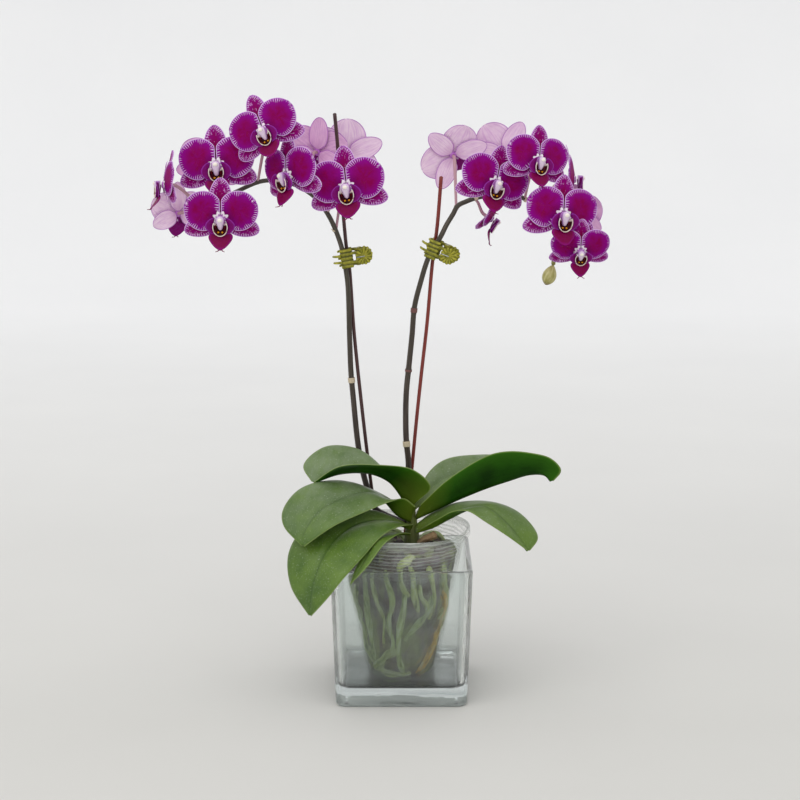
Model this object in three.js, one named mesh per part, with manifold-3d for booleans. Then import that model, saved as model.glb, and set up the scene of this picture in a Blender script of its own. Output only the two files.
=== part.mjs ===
// Moth orchid with two flower spikes, in a clear nursery pot inside a square glass vase.
// Millimetres, +Z up, origin at the centre of the vase's underside, -Y towards the front.
import * as THREE from "three";
import { mergeVertices } from "three/addons/utils/BufferGeometryUtils.js";
import Module from "manifold-3d";

const wasm = await Module();
wasm.setup();

// Clearance between pieces that touch
const GAP = 0.3;

// Vase: pressed glass, slightly narrower at the base
const VASE = { mouthHalf: 60, baseHalf: 56, height: 120, wall: 4.8, floor: 15, corner: 9, edge: 2 };

// Nursery pot: thin clear plastic, standing on the vase's floor
const POT = {
  foot: VASE.floor + GAP, footRadius: 31, shoulderRadius: 54.2, shoulderZ: 137, flangeRadius: 59.5,
  flangeTop: 145, wall: 1.2, ribs: 3, ribPitch: 5, ribDepth: 0.9, sides: 20,
};
const DRAIN = { radius: 4, ring: 17, count: 4 };

// Potting medium inside the pot
const MEDIUM = { top: 123, dome: 5, bump: 1.6 };

// Short main stem that carries the leaves, roots and spikes
const CROWN = { x: 9, y: 1, radiusX: 7.5, radiusY: 6, low: 116, high: 163 };
const ROOTS = { count: 5, radius: 2.3, thinning: 0.35, sides: 4, steps: 5, inset: 4.4, low: 34 };

// Blooms, measured from the middle of the flower
const BLOOM = { petalReach: 33, petalWidth: 16.8, sepalReach: 34, sepalWidth: 9.4, blade: 0.8, cone: 0.2 };

// Stems
const SPIKE = { base: 2.7, tip: 1.7, sides: 6 };
const PEDICEL = { radius: 1.2, sides: 4, steps: 3 };
const STAKE = { radius: 1.55, sides: 6 };

const COLOURS = {
  glass: "#C9D2D0", potPlastic: "#B9BDB4", medium: "#5B5550", root: "#8F9A6A", leaf: "#4A7A28",
  leafPale: "#7F9A3A", spike: "#3F3A30", stakeLeft: "#4A2A30", stakeRight: "#7A3028", tepal: "#8A0A72",
  lip: "#4E0A3E", bud: "#9AA06A", clip: "#7A8A1E", steel: "#B8BBBE",
};

const model = new THREE.Group();

function addMesh(name, solid, colour, roughness = 0.5, metalness = 0) {
  const mesh = new THREE.Mesh(
    solidToGeometry(solid),
    new THREE.MeshStandardMaterial({ color: colour, roughness, metalness }),
  );
  mesh.name = name;
  model.add(mesh);
  return mesh;
}

// Closed geometry to a solid, and back

function geometryToSolid(geometry) {
  const bare = geometry.clone();
  bare.deleteAttribute("normal");
  bare.deleteAttribute("uv");
  const merged = mergeVertices(bare, 1e-4);
  return new wasm.Manifold(new wasm.Mesh({
    numProp: 3,
    vertProperties: Float32Array.from(merged.attributes.position.array),
    triVerts: Uint32Array.from(merged.index.array),
  }));
}

function solidToGeometry(solid) {
  const mesh = solid.getMesh();
  const geometry = new THREE.BufferGeometry();
  geometry.setAttribute("position", new THREE.BufferAttribute(mesh.vertProperties, 3));
  geometry.setIndex(new THREE.BufferAttribute(mesh.triVerts, 1));
  geometry.computeVertexNormals();
  return geometry;
}

function join(solids) {
  return solids.reduce((whole, piece) => whole.add(piece));
}

function placed(geometry, matrix) {
  return geometryToSolid(geometry.clone().applyMatrix4(matrix));
}

// A closed thin blade on a grid: place(u, v) gives a point of its middle surface and its half
// thickness as a vector. Both faces are split into triangles the same way.
function bladeGeometry(columns, rows, place) {
  const positions = [];
  const index = [];
  const across = rows + 1;
  const layer = (columns + 1) * across;
  for (const side of [1, -1]) {
    for (let i = 0; i <= columns; i++) {
      for (let j = 0; j <= rows; j++) {
        const { point, half } = place(i / columns, j / rows);
        positions.push(...point.clone().addScaledVector(half, side).toArray());
      }
    }
  }
  const at = (i, j, back) => i * across + j + (back ? layer : 0);
  for (let i = 0; i < columns; i++) {
    for (let j = 0; j < rows; j++) {
      const corners = [[i, j], [i + 1, j], [i + 1, j + 1], [i, j + 1]];
      const [a, b, c, d] = corners.map(([p, q]) => at(p, q, false));
      const [e, f, g, h] = corners.map(([p, q]) => at(p, q, true));
      index.push(a, b, c, a, c, d, e, g, f, e, h, g);
    }
  }
  const wallStrip = (p, q) => {
    const [a, b] = [at(...p, false), at(...q, false)];
    const [c, d] = [at(...p, true), at(...q, true)];
    index.push(a, c, d, a, d, b);
  };
  for (let i = 0; i < columns; i++) {
    wallStrip([i, 0], [i + 1, 0]);
    wallStrip([i + 1, rows], [i, rows]);
  }
  for (let j = 0; j < rows; j++) {
    wallStrip([columns, j], [columns, j + 1]);
    wallStrip([0, j + 1], [0, j]);
  }
  const geometry = new THREE.BufferGeometry();
  geometry.setAttribute("position", new THREE.BufferAttribute(new Float32Array(positions), 3));
  geometry.setIndex(index);
  return geometry;
}

// A round stem along a curve, growing or shrinking by scaleAt(0..1)
function stemGeometry(curve, radius, sides, steps, scaleAt = () => 1) {
  const ring = [];
  for (let k = 0; k < sides; k++) {
    const angle = (2 * Math.PI * k) / sides;
    ring.push(new THREE.Vector2(radius * Math.cos(angle), radius * Math.sin(angle)));
  }
  const geometry = new THREE.ExtrudeGeometry(new THREE.Shape(ring), {
    steps, bevelEnabled: false, extrudePath: curve,
  });
  const centres = curve.getSpacedPoints(steps);
  const position = geometry.attributes.position;
  const vertex = new THREE.Vector3();
  for (let k = 0; k < position.count; k++) {
    vertex.fromBufferAttribute(position, k);
    const distances = centres.map((centre) => centre.distanceToSquared(vertex));
    const nearest = distances.indexOf(Math.min(...distances));
    vertex.sub(centres[nearest]).multiplyScalar(scaleAt(nearest / steps)).add(centres[nearest]);
    position.setXYZ(k, vertex.x, vertex.y, vertex.z);
  }
  return geometry;
}

function curveThrough(points) {
  return new THREE.CatmullRomCurve3(points.map((p) => new THREE.Vector3(...p)), false, "centripetal");
}

// Sections stacked upwards and closed with a flat cap at each end
function loftGeometry(rings) {
  const count = rings[0].length;
  const positions = rings.flat(2);
  const index = [];
  for (let r = 0; r + 1 < rings.length; r++) {
    for (let k = 0; k < count; k++) {
      const next = (k + 1) % count;
      const [a, b] = [r * count + k, r * count + next];
      const [c, d] = [a + count, b + count];
      index.push(a, b, d, a, d, c);
    }
  }
  const last = (rings.length - 1) * count;
  for (let k = 1; k + 1 < count; k++) {
    index.push(0, k + 1, k);
    index.push(last, last + k, last + k + 1);
  }
  const geometry = new THREE.BufferGeometry();
  geometry.setAttribute("position", new THREE.BufferAttribute(new Float32Array(positions), 3));
  geometry.setIndex(index);
  return geometry;
}

function roundedSquareRing(half, corner, z) {
  const ring = [];
  const stepsPerCorner = 3;
  for (let quarter = 0; quarter < 4; quarter++) {
    for (let k = 0; k <= stepsPerCorner; k++) {
      const angle = (Math.PI / 2) * (quarter + k / stepsPerCorner);
      const sideX = quarter === 0 || quarter === 3 ? 1 : -1;
      const sideY = quarter < 2 ? 1 : -1;
      const x = sideX * (half - corner) + corner * Math.cos(angle);
      const y = sideY * (half - corner) + corner * Math.sin(angle);
      ring.push([x, y, z]);
    }
  }
  return ring;
}

// Vase

function makeVase() {
  const { mouthHalf, baseHalf, height, wall, floor, corner, edge } = VASE;
  const halfAt = (z) => baseHalf + ((mouthHalf - baseHalf) * z) / height;
  const inner = corner - wall * 0.6;
  const rings = [
    roundedSquareRing(baseHalf - edge, corner - edge / 2, 0),
    roundedSquareRing(halfAt(edge), corner, edge),
    roundedSquareRing(halfAt(height - 1), corner, height - 1),
    roundedSquareRing(mouthHalf - 1, corner - 1, height),
    roundedSquareRing(mouthHalf - wall + 1, inner, height),
    roundedSquareRing(halfAt(height - 1) - wall, inner, height - 1),
    roundedSquareRing(halfAt(floor + 4) - wall, inner, floor + 4),
    roundedSquareRing(halfAt(floor) - wall - 4, inner, floor),
  ];
  addMesh("vase", geometryToSolid(loftGeometry(rings)), COLOURS.glass, 0.08);
}

// Nursery pot

function potRadiusAt(z) {
  const { foot, footRadius, shoulderRadius, shoulderZ } = POT;
  return footRadius + ((shoulderRadius - footRadius) * (z - foot)) / (shoulderZ - foot);
}

function makePot() {
  const { foot, footRadius, shoulderZ, flangeRadius, flangeTop, wall, ribs, ribPitch, ribDepth } = POT;
  const outline = [[0, foot], [footRadius - 1, foot], [footRadius, foot + 1.5]];
  for (let k = ribs; k > 0; k--) {
    const z = shoulderZ - k * ribPitch;
    outline.push([potRadiusAt(z), z], [potRadiusAt(z + 2) + ribDepth, z + 2]);
  }
  outline.push([potRadiusAt(shoulderZ), shoulderZ]);
  outline.push([flangeRadius - 0.6, shoulderZ + 0.6], [flangeRadius, flangeTop - 1]);
  outline.push([flangeRadius - 1, flangeTop], [flangeRadius - 3, flangeTop - 1]);
  outline.push([potRadiusAt(shoulderZ) - wall, shoulderZ - 1]);
  outline.push([potRadiusAt(foot) - wall, foot + wall], [0, foot + wall]);
  const profile = outline.map(([r, z]) => new THREE.Vector2(r, z));
  const turned = new THREE.LatheGeometry(profile, POT.sides).rotateX(Math.PI / 2);
  let pot = geometryToSolid(turned);
  const hole = new THREE.CylinderGeometry(DRAIN.radius, DRAIN.radius, 6, 8).rotateX(Math.PI / 2);
  for (let k = 0; k < DRAIN.count; k++) {
    const angle = (2 * Math.PI * (k + 0.5)) / DRAIN.count;
    const at = new THREE.Matrix4().makeTranslation(
      DRAIN.ring * Math.cos(angle), DRAIN.ring * Math.sin(angle), foot + wall / 2,
    );
    pot = pot.subtract(placed(hole, at));
  }
  addMesh("pot", pot, COLOURS.potPlastic, 0.25);
}

// Crown, with the roots that run down inside the pot's wall

function crownSolid(extra) {
  const { x, y, radiusX, radiusY, low, high } = CROWN;
  const height = high - low;
  const body = new THREE.CylinderGeometry(0.55, 1, height, 10).rotateX(Math.PI / 2);
  body.scale(radiusX + extra, radiusY + extra, (height + 2 * extra) / height);
  body.translate(x, y, (low + high) / 2);
  return geometryToSolid(body);
}

function rootCurve(number) {
  const { inset, low, count } = ROOTS;
  const angle = (2 * Math.PI * (number + 0.6)) / count;
  const along = (z, turn) => {
    const reach = potRadiusAt(z) - POT.wall - inset;
    return [reach * Math.cos(angle + turn), reach * Math.sin(angle + turn), z];
  };
  const sway = number % 2 ? 0.22 : -0.18;
  const depth = low + 9 * (number % 3);
  const start = [CROWN.x + 2 * Math.cos(angle), CROWN.y + 2 * Math.sin(angle), CROWN.low + 3];
  return curveThrough([start, along(110, 0), along(92, sway), along(66, -sway), along(depth, sway / 2)]);
}

function rootsSolid(extra) {
  const { count, radius, thinning, sides, steps } = ROOTS;
  const lastPart = 0.3;
  const taper = (t) => 1 - (thinning * Math.max(0, t - 1 + lastPart)) / lastPart;
  const solids = [];
  for (let k = 0; k < count; k++) {
    solids.push(geometryToSolid(stemGeometry(rootCurve(k), radius + extra, sides, steps, taper)));
  }
  return join(solids);
}

// Medium, with plain holes for the crown, the roots and the stakes

function makeMedium() {
  const bottom = POT.foot + POT.wall + GAP;
  const inside = (z) => potRadiusAt(z) - POT.wall - GAP - 0.1;
  const profile = [
    [0, bottom], [inside(bottom) - 0.3, bottom], [inside(MEDIUM.top), MEDIUM.top],
    [inside(MEDIUM.top) * 0.66, MEDIUM.top + MEDIUM.dome * 0.6],
    [inside(MEDIUM.top) * 0.33, MEDIUM.top + MEDIUM.dome * 0.9], [0, MEDIUM.top + MEDIUM.dome],
  ];
  const turned = new THREE.LatheGeometry(profile.map(([r, z]) => new THREE.Vector2(r, z)), POT.sides);
  turned.rotateX(Math.PI / 2);
  const position = turned.attributes.position;
  for (let k = 0; k < position.count; k++) {
    const [x, y, z] = [position.getX(k), position.getY(k), position.getZ(k)];
    const reach = Math.hypot(x, y);
    if (z > MEDIUM.top + 0.5 && reach > 1) {
      const lump = Math.sin(x * 0.9 + 1) * Math.cos(y * 0.8 - 0.5) + Math.sin(x * 0.37 + y * 0.53);
      position.setZ(k, z + MEDIUM.bump * lump * 0.5);
    }
  }
  let medium = geometryToSolid(turned);
  medium = medium.subtract(crownSolid(GAP)).subtract(rootsSolid(GAP));
  for (const stake of STAKES) {
    const hole = stemGeometry(curveThrough(stake.points), STAKE.radius + GAP, STAKE.sides, stake.steps);
    medium = medium.subtract(geometryToSolid(hole));
  }
  addMesh("potting_medium", medium, COLOURS.medium, 0.95);
}

// Stakes: plastic-coated wires that stand in the medium

const STAKES = [
  {
    name: "stake_left", colour: COLOURS.stakeLeft, steps: 14,
    points: [[-17, 26, 96], [-20.5, 24, 129], [-26.6, 20.5, 177], [-34.2, 16, 246], [-40.5, 12, 312],
      [-43.9, 7.15, 366], [-46.2, 5.6, 383], [-48.6, 4.2, 410], [-53.2, 2.5, 471], [-55.4, 2, 496]],
  },
  {
    name: "stake_right", colour: COLOURS.stakeRight, steps: 12,
    points: [[1, 20, 96], [3, 18.5, 129], [9.2, 17, 193], [12.5, 15, 230], [17, 13.5, 275], [21.7, 11, 319],
      [26.3, 7, 374], [29.8, 3, 402], [33, 1, 444]],
  },
];

function makeStakes() {
  for (const stake of STAKES) {
    const rod = stemGeometry(curveThrough(stake.points), STAKE.radius, STAKE.sides, stake.steps);
    addMesh(stake.name, geometryToSolid(rod), stake.colour, 0.4);
  }
}

// Leaves: each is spanned by three guide curves from the crown to the tip: its keel, its edge
// towards the front and its edge towards the back.

const LEAVES = [
  {
    name: "leaf_upper_left", thick: 2.4, colour: COLOURS.leaf,
    keel: [[7, -4, 157.8], [-1, -7, 173.6], [-11, -10, 187], [-26, -12, 194], [-52, -13, 194], [-76, -12, 185]],
    near: [[15, -8, 169], [25, -11, 181], [10, -18, 198], [-18, -26, 204], [-51, -30, 204], [-76, -12, 185]],
    far: [[5, 0, 163], [-3, 2, 177], [-19, 4, 197], [-38, 6, 211], [-66, 4, 213], [-84, -2, 198], [-76, -12, 185]],
  },
  {
    name: "leaf_middle_left", thick: 2.4, colour: COLOURS.leaf,
    keel: [[7.6, -3.4, 149], [-4, -10, 157.5], [-14, -14, 170], [-27, -19, 178], [-48, -28, 176], [-70, -40, 166],
      [-83, -54, 147], [-82, -58, 141]],
    near: [[12, -10, 164], [3, -15, 172], [-8, -27, 173], [-34, -46, 167], [-57, -58, 159], [-82, -58, 141]],
    far: [[3, -2, 157], [-7, -3, 167], [-27, -4, 178], [-58, -10, 187], [-86, -20, 182], [-100, -34, 167],
      [-99, -44, 156], [-82, -58, 141]],
  },
  {
    name: "leaf_lower_left", thick: 2.4, colour: COLOURS.leaf,
    keel: [[8, -8, 144], [-6, -15, 151], [-23, -25, 155], [-39, -34, 153], [-53, -44, 146], [-64, -57, 134],
      [-73, -70, 112], [-76, -76, 86]],
    near: [[10, -10, 148], [-3, -30, 151], [-17, -57, 150], [-32, -69, 136], [-47, -81, 122], [-61, -84, 105],
      [-76, -76, 86]],
    far: [[5, -5, 147], [-4, -10, 153], [-25, -15, 162], [-57, -21, 161], [-82, -30, 151], [-95, -43, 132],
      [-93, -56, 108], [-76, -76, 86]],
  },
  {
    name: "leaf_small_lower_left", thick: 2, colour: COLOURS.leafPale,
    keel: [[7, -8, 139], [-1, -18, 142], [-11, -38, 145], [-21, -55, 146.3], [-31, -68, 131], [-43, -79, 115]],
    near: [[8, -11, 140], [0, -28, 145], [-8, -52, 147.5], [-15, -64, 145], [-29, -76, 129], [-43, -79, 115]],
    far: [[4, -6, 140], [-5, -19, 142], [-17, -34, 145], [-27, -50, 146.3], [-36, -65, 131], [-43, -79, 115]],
  },
  {
    name: "leaf_upper_right", thick: 2.6, colour: COLOURS.leaf,
    keel: [[12, -3, 152], [26, -5, 159], [48, -7, 170], [71, -8, 180], [90, -9, 187], [110, -9, 193],
      [123, -9, 192], [129, -9, 185]],
    near: [[17, -9, 166], [40, -10, 188], [73, -12, 209], [90, -13, 213], [109, -14, 212], [127, -14, 207],
      [136, -12, 196], [129, -9, 185]],
    far: [[16, 6, 159], [38, 8, 172], [72, 14, 189], [98, 16, 195], [124, 12, 197], [133, 2, 193],
      [129, -9, 185]],
  },
  {
    name: "leaf_back_right", thick: 2.4, colour: COLOURS.leaf,
    keel: [[9, 3, 156], [30, 12, 178], [51, 18, 187], [74, 24, 192], [96, 28, 192], [112, 32, 184]],
    near: [[12, 2, 158], [38, 6, 178], [64, 12, 190], [90, 18, 196], [112, 32, 184]],
    far: [[8, 7, 160], [24, 17, 188], [38, 25, 197], [62, 34, 199], [91, 40, 196], [112, 32, 184]],
  },
  {
    name: "leaf_lower_right", thick: 2.4, colour: COLOURS.leaf,
    keel: [[12, -6, 140], [26, -11, 146], [41, -17, 156], [57, -22, 165], [71, -26, 167], [86, -31, 157],
      [108, -36, 131]],
    near: [[17, -10, 144], [31, -19, 155], [44, -27, 164], [56, -34, 166], [71, -40, 158], [89, -44, 147],
      [108, -36, 131]],
    far: [[13, -1, 146], [25, 0, 155], [46, -2, 165], [76, -6, 167], [101, -13, 159], [116, -24, 141],
      [108, -36, 131]],
  },
];

const LEAF_COLUMNS = 9;
const LEAF_ARCH = 0.07;
const LEAF_EDGE = 0.45;
const LEAF_END = 0.975;

// The guide curves meet at the tip, so the blade's last column stops just short of it
function leafGeometry({ keel, near, far, thick }) {
  const [middle, front, back] = [keel, near, far].map(curveThrough);
  const surfacePoint = (t, v) => {
    const share = Math.min(LEAF_END, t);
    const spine = middle.getPointAt(share);
    const edge = (v < 0.5 ? front : back).getPointAt(share);
    const reach = Math.abs(1 - 2 * v);
    const arch = LEAF_ARCH * spine.distanceTo(edge) * 4 * reach * (1 - reach);
    return spine.lerp(edge, reach).add(new THREE.Vector3(0, 0, arch));
  };
  return bladeGeometry(LEAF_COLUMNS, 4, (t, v) => {
    const step = 0.02;
    const along = surfacePoint(Math.min(t + step, 1), v).sub(surfacePoint(Math.max(t - step, 0), v));
    const across = surfacePoint(t, Math.min(v + step, 1)).sub(surfacePoint(t, Math.max(v - step, 0)));
    const normal = new THREE.Vector3().crossVectors(along, across).normalize();
    const reach = Math.abs(1 - 2 * v);
    const thickness = thick * (1 - (1 - LEAF_EDGE) * reach);
    return { point: surfacePoint(t, v), half: normal.multiplyScalar(thickness / 2) };
  });
}

function makeLeaves() {
  const clear = crownSolid(GAP);
  for (const leaf of LEAVES) {
    const solid = outwardSolid(leafGeometry(leaf)).subtract(clear);
    addMesh(leaf.name, largestPiece(solid), leaf.colour, 0.4);
  }
}

// A blade whose grid runs the other way round is turned inside out first
function outwardSolid(geometry) {
  const solid = geometryToSolid(geometry);
  if (solid.volume() > 0) {
    return solid;
  }
  const index = geometry.index.array;
  for (let k = 0; k < index.length; k += 3) {
    [index[k + 1], index[k + 2]] = [index[k + 2], index[k + 1]];
  }
  return geometryToSolid(geometry);
}

function largestPiece(solid) {
  return solid.decompose().reduce((best, piece) => (piece.volume() > best.volume() ? piece : best));
}

// Blooms. In a bloom's own frame +Z is the way it faces and +Y points to the top sepal.

function coneZ(x, y, level) {
  return level - BLOOM.cone * Math.hypot(x, y);
}

function tepalGeometry({ angle, reach, width, level, fullness, columns, rows }) {
  const start = 1.8;
  const along = new THREE.Vector2(Math.cos(angle), Math.sin(angle));
  const across = new THREE.Vector2(-along.y, along.x);
  const half = new THREE.Vector3(0, 0, BLOOM.blade / 2);
  return bladeGeometry(columns, rows, (u, v) => {
    const t = 0.02 + 0.965 * (0.6 * u + 0.2 * (1 - Math.cos(Math.PI * u)));
    const swell = 2 * Math.pow(t, fullness) - 1;
    const claw = Math.min(1, 0.2 + 3.6 * t);
    const breadth = width * claw * Math.sqrt(1 - swell * swell);
    const r = start + (reach - start) * t;
    const q = (2 * v - 1) * breadth;
    const x = along.x * r + across.x * q;
    const y = along.y * r + across.y * q;
    const ripple = 0.5 * Math.sin(5 * t + 2 * angle) * (2 * v - 1) * t;
    return { point: new THREE.Vector3(x, y, coneZ(x, y, level) + ripple), half };
  });
}

const PETAL_ANGLE = THREE.MathUtils.degToRad(24);
const SEPAL_ANGLES = [90, -22, 202].map(THREE.MathUtils.degToRad);

function tepalsSolid() {
  const hub = new THREE.CylinderGeometry(3.6, 3, 5, 5).rotateX(Math.PI / 2).translate(0, 0, -0.5);
  const solids = [geometryToSolid(hub)];
  for (const angle of [PETAL_ANGLE, Math.PI - PETAL_ANGLE]) {
    solids.push(outwardSolid(tepalGeometry({
      angle, reach: BLOOM.petalReach, width: BLOOM.petalWidth, level: 1.3, fullness: 0.85, columns: 4, rows: 2,
    })));
  }
  for (const angle of SEPAL_ANGLES) {
    solids.push(outwardSolid(tepalGeometry({
      angle, reach: BLOOM.sepalReach, width: BLOOM.sepalWidth, level: -1, fullness: 0.9, columns: 3, rows: 1,
    })));
  }
  return join(solids);
}

// Lip and column: two upright side lobes, a pointed middle lobe with two curled tendrils

function midlobeGeometry() {
  const half = new THREE.Vector3(0, 0, 0.5);
  return bladeGeometry(3, 2, (u, v) => {
    const y = 0.3 - 23.5 * u;
    const z = 3.4 + 12 * Math.sin(1.5 * u);
    const breadth = u < 0.3 ? 1.3 + 3 * u : u < 0.7 ? 2.2 + 19.5 * (u - 0.3) : 10 - 30 * (u - 0.7);
    const q = (2 * v - 1) * breadth;
    return { point: new THREE.Vector3(q, y, z - 0.14 * Math.abs(q)), half };
  });
}

function sideLobeGeometry(side) {
  const half = new THREE.Vector3(side * 0.4, 0, 0.12);
  return bladeGeometry(2, 1, (u, v) => {
    const x = side * (0.6 + 4.9 * Math.sin(u * 1.4));
    const y = 0.5 - 4.8 * u + (2 * v - 1) * (0.5 + 3.3 * Math.sin(Math.PI * Math.min(u, 0.6)));
    const z = 6.8 + 5.6 * u * (0.75 + 0.4 * v);
    return { point: new THREE.Vector3(x, y, z), half };
  });
}

function lipSolid() {
  const column = new THREE.CylinderGeometry(1.8, 2.5, 7.4, 4).rotateX(Math.PI / 2 - 0.22).translate(0, 1.2, 6.4);
  const solids = [geometryToSolid(column), outwardSolid(midlobeGeometry())];
  for (const side of [1, -1]) {
    solids.push(outwardSolid(sideLobeGeometry(side)));
    const tendril = curveThrough([[side * 0.5, -21.4, 14.9], [side * 3.4, -23.6, 19]]);
    solids.push(geometryToSolid(stemGeometry(tendril, 0.6, 3, 1)));
  }
  return join(solids);
}

// Where each bloom's middle is, the way it faces, and its size. turn: 0 faces the front, +90 the
// right. nod: up is positive. roll: the top sepal leans to the left. stem: where its pedicel leaves
// the spike, as a share of the spike's length.
const BLOOMS = [
  { name: "bloom_left_1", at: [-112, -26, 483], turn: -12, nod: 4, roll: 25, size: 0.95, stem: 0.86 },
  { name: "bloom_left_2", at: [-152.5, -13.5, 454], turn: 0, nod: 4, roll: 4, size: 1, stem: 0.93 },
  { name: "bloom_left_3", at: [-147.5, -38, 412.5], turn: 0, nod: -8, roll: 0, size: 0.97, stem: 0.945 },
  { name: "bloom_left_4", at: [-197, -8, 438], turn: -76, nod: 3, roll: 4, size: 0.85, stem: 0.985 },
  { name: "bloom_left_5", at: [-190, 26, 411], turn: -155, nod: -10, roll: 0, size: 0.78, stem: 0.995 },
  { name: "bloom_left_6", at: [-162, 34, 453], turn: 175, nod: 0, roll: 10, size: 0.85, stem: 0.965 },
  { name: "bloom_left_7", at: [-94, -24, 446.5], turn: -42, nod: -4, roll: 8, size: 0.96, stem: 0.82 },
  { name: "bloom_left_8", at: [-45, -26, 437], turn: -6, nod: 0, roll: 7, size: 1.01, stem: 0.7 },
  { name: "bloom_left_9", at: [-71, 26, 463], turn: 165, nod: 0, roll: 10, size: 0.88, stem: 0.77 },
  { name: "bloom_left_10", at: [-47, 46, 459], turn: 184, nod: 0, roll: 68, size: 0.95, stem: 0.66 },
  { name: "bloom_right_1", at: [43.5, 28, 460.5], turn: 186, nod: 16, roll: -46, size: 0.88, stem: 0.66 },
  { name: "bloom_right_2", at: [77, -24, 440], turn: 18, nod: 0, roll: -16, size: 0.95, stem: 0.735 },
  { name: "bloom_right_3", at: [112.5, -22, 458.5], turn: 20, nod: 4, roll: -9, size: 0.88, stem: 0.8 },
  { name: "bloom_right_4", at: [87.5, 37, 460.5], turn: 175, nod: 0, roll: 29, size: 0.92, stem: 0.765 },
  { name: "bloom_right_5", at: [132, -34, 415], turn: 15, nod: 0, roll: -6, size: 0.98, stem: 0.86 },
  { name: "bloom_right_6", at: [147, -31, 385.5], turn: 4, nod: -22, roll: 0, size: 0.78, stem: 0.92 },
  { name: "bloom_right_7", at: [145, 14, 441], turn: 85, nod: 0, roll: 0, size: 0.85, stem: 0.83 },
  { name: "bloom_right_8", at: [150.5, 36, 408.5], turn: 150, nod: 0, roll: 0, size: 0.8, stem: 0.9 },
  { name: "bloom_right_9", at: [76, 15, 407.5], turn: 80, nod: -32, roll: -6, size: 0.78, stem: 0.7 },
];

function bloomMatrix({ at, turn, nod, roll, size }) {
  const facing = THREE.MathUtils.degToRad(turn);
  const lift = THREE.MathUtils.degToRad(nod);
  const out = new THREE.Vector3(
    Math.sin(facing) * Math.cos(lift), -Math.cos(facing) * Math.cos(lift), Math.sin(lift),
  );
  const right = new THREE.Vector3(Math.cos(facing), Math.sin(facing), 0);
  const top = new THREE.Vector3().crossVectors(out, right);
  const lean = new THREE.Matrix4().makeRotationZ(THREE.MathUtils.degToRad(roll));
  const sized = new THREE.Matrix4().makeScale(size, size, size);
  return new THREE.Matrix4().makeBasis(right, top, out).multiply(lean).multiply(sized).setPosition(...at);
}

function makeBlooms() {
  const tepals = solidToGeometry(tepalsSolid());
  const lip = solidToGeometry(lipSolid());
  for (const bloom of BLOOMS) {
    const matrix = bloomMatrix(bloom);
    addMesh(bloom.name, placed(tepals, matrix), COLOURS.tepal, 0.5);
    addMesh(`${bloom.name}_lip`, placed(lip, matrix), COLOURS.lip, 0.45);
  }
}

// Spikes, each with its pedicels

const SPIKES = [
  {
    name: "spike_left", blooms: "bloom_left", steps: 24,
    rings: [0.347],
    points: [[3, 1.5, 146], [-4, 6, 148], [-13, 11, 150.5], [-23, 14.5, 156], [-28.5, 16, 170],
      [-33.5, 17, 188], [-37.8, 17, 214], [-41.5, 15, 254], [-43.3, 13, 276.5], [-44.2, 9.5, 307],
      [-45.3, 5, 352.5], [-47, 3, 367], [-48.5, 1, 377], [-51, 0, 388], [-56.5, 0, 403], [-61.5, 0, 413],
      [-70, 1, 425], [-82, 2, 434], [-97, 2, 440], [-116, 2, 440.5], [-136, 2, 432.5], [-155.5, 3, 422.5],
      [-172, 4, 412]],
  },
  {
    name: "spike_right", blooms: "bloom_right", steps: 26,
    rings: [0.165, 0.318, 0.438],
    points: [[11, 3, 145], [8.5, 9, 153], [6.5, 11, 165], [6, 12, 181], [6, 12, 198], [4, 11, 219],
      [4, 10, 257.5], [6.4, 9, 283.5], [9, 8, 310], [11, 6.5, 334], [15.6, 4.5, 353.5], [22.6, 2, 376.5],
      [27.9, 0.4, 386], [33.3, -1, 395.5], [37.5, 0, 404], [43, 1, 413], [47, 1, 420], [54, 2, 423.5],
      [64.5, 3, 427], [81, 4, 428.5], [98, 4, 427.5], [104, 4, 425], [120, 4, 416], [134, 4, 402],
      [143, 4, 388], [141.5, 3, 378], [136, 1, 376], [130.5, -1, 376.5], [127.6, -3, 374.6], [127.1, -4, 371.4]],
  },
];

const BUD = { at: [124, -4, 362.6], length: 18, width: 12, lean: 20 };
const STEM_RING = { height: 2.6, overhang: 0.6 };

// A low collar round the spike where a bract scar is
function ringSolid(curve, share, radius) {
  const collar = new THREE.CylinderGeometry(radius, radius, STEM_RING.height, SPIKE.sides);
  const up = new THREE.Vector3(0, 1, 0);
  const aim = new THREE.Quaternion().setFromUnitVectors(up, curve.getTangentAt(share));
  const size = new THREE.Vector3(1, 1, 1);
  return placed(collar, new THREE.Matrix4().compose(curve.getPointAt(share), aim, size));
}

function pedicelCurve(spikeCurve, bloom) {
  const root = spikeCurve.getPointAt(bloom.stem);
  const matrix = bloomMatrix(bloom);
  const seat = new THREE.Vector3(0, 0, -3 - GAP / bloom.size).applyMatrix4(matrix);
  const approach = new THREE.Vector3(0, 0, -11).applyMatrix4(matrix);
  const rise = root.clone().lerp(approach, 0.4).add(new THREE.Vector3(0, 0, 2));
  return curveThrough([root, rise, approach, seat].map((p) => p.toArray()));
}

function makeSpikes() {
  const clear = crownSolid(GAP);
  for (const spike of SPIKES) {
    const curve = curveThrough(spike.points);
    const shrink = (t) => 1 - (1 - SPIKE.tip / SPIKE.base) * t;
    const solids = [geometryToSolid(stemGeometry(curve, SPIKE.base, SPIKE.sides, spike.steps, shrink))];
    for (const share of spike.rings) {
      solids.push(ringSolid(curve, share, SPIKE.base * shrink(share) + STEM_RING.overhang));
    }
    for (const bloom of BLOOMS.filter((b) => b.name.startsWith(spike.blooms))) {
      const stem = stemGeometry(pedicelCurve(curve, bloom), PEDICEL.radius, PEDICEL.sides, PEDICEL.steps);
      solids.push(geometryToSolid(stem));
    }
    addMesh(spike.name, largestPiece(join(solids).subtract(clear)), COLOURS.spike, 0.5);
  }
}

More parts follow.
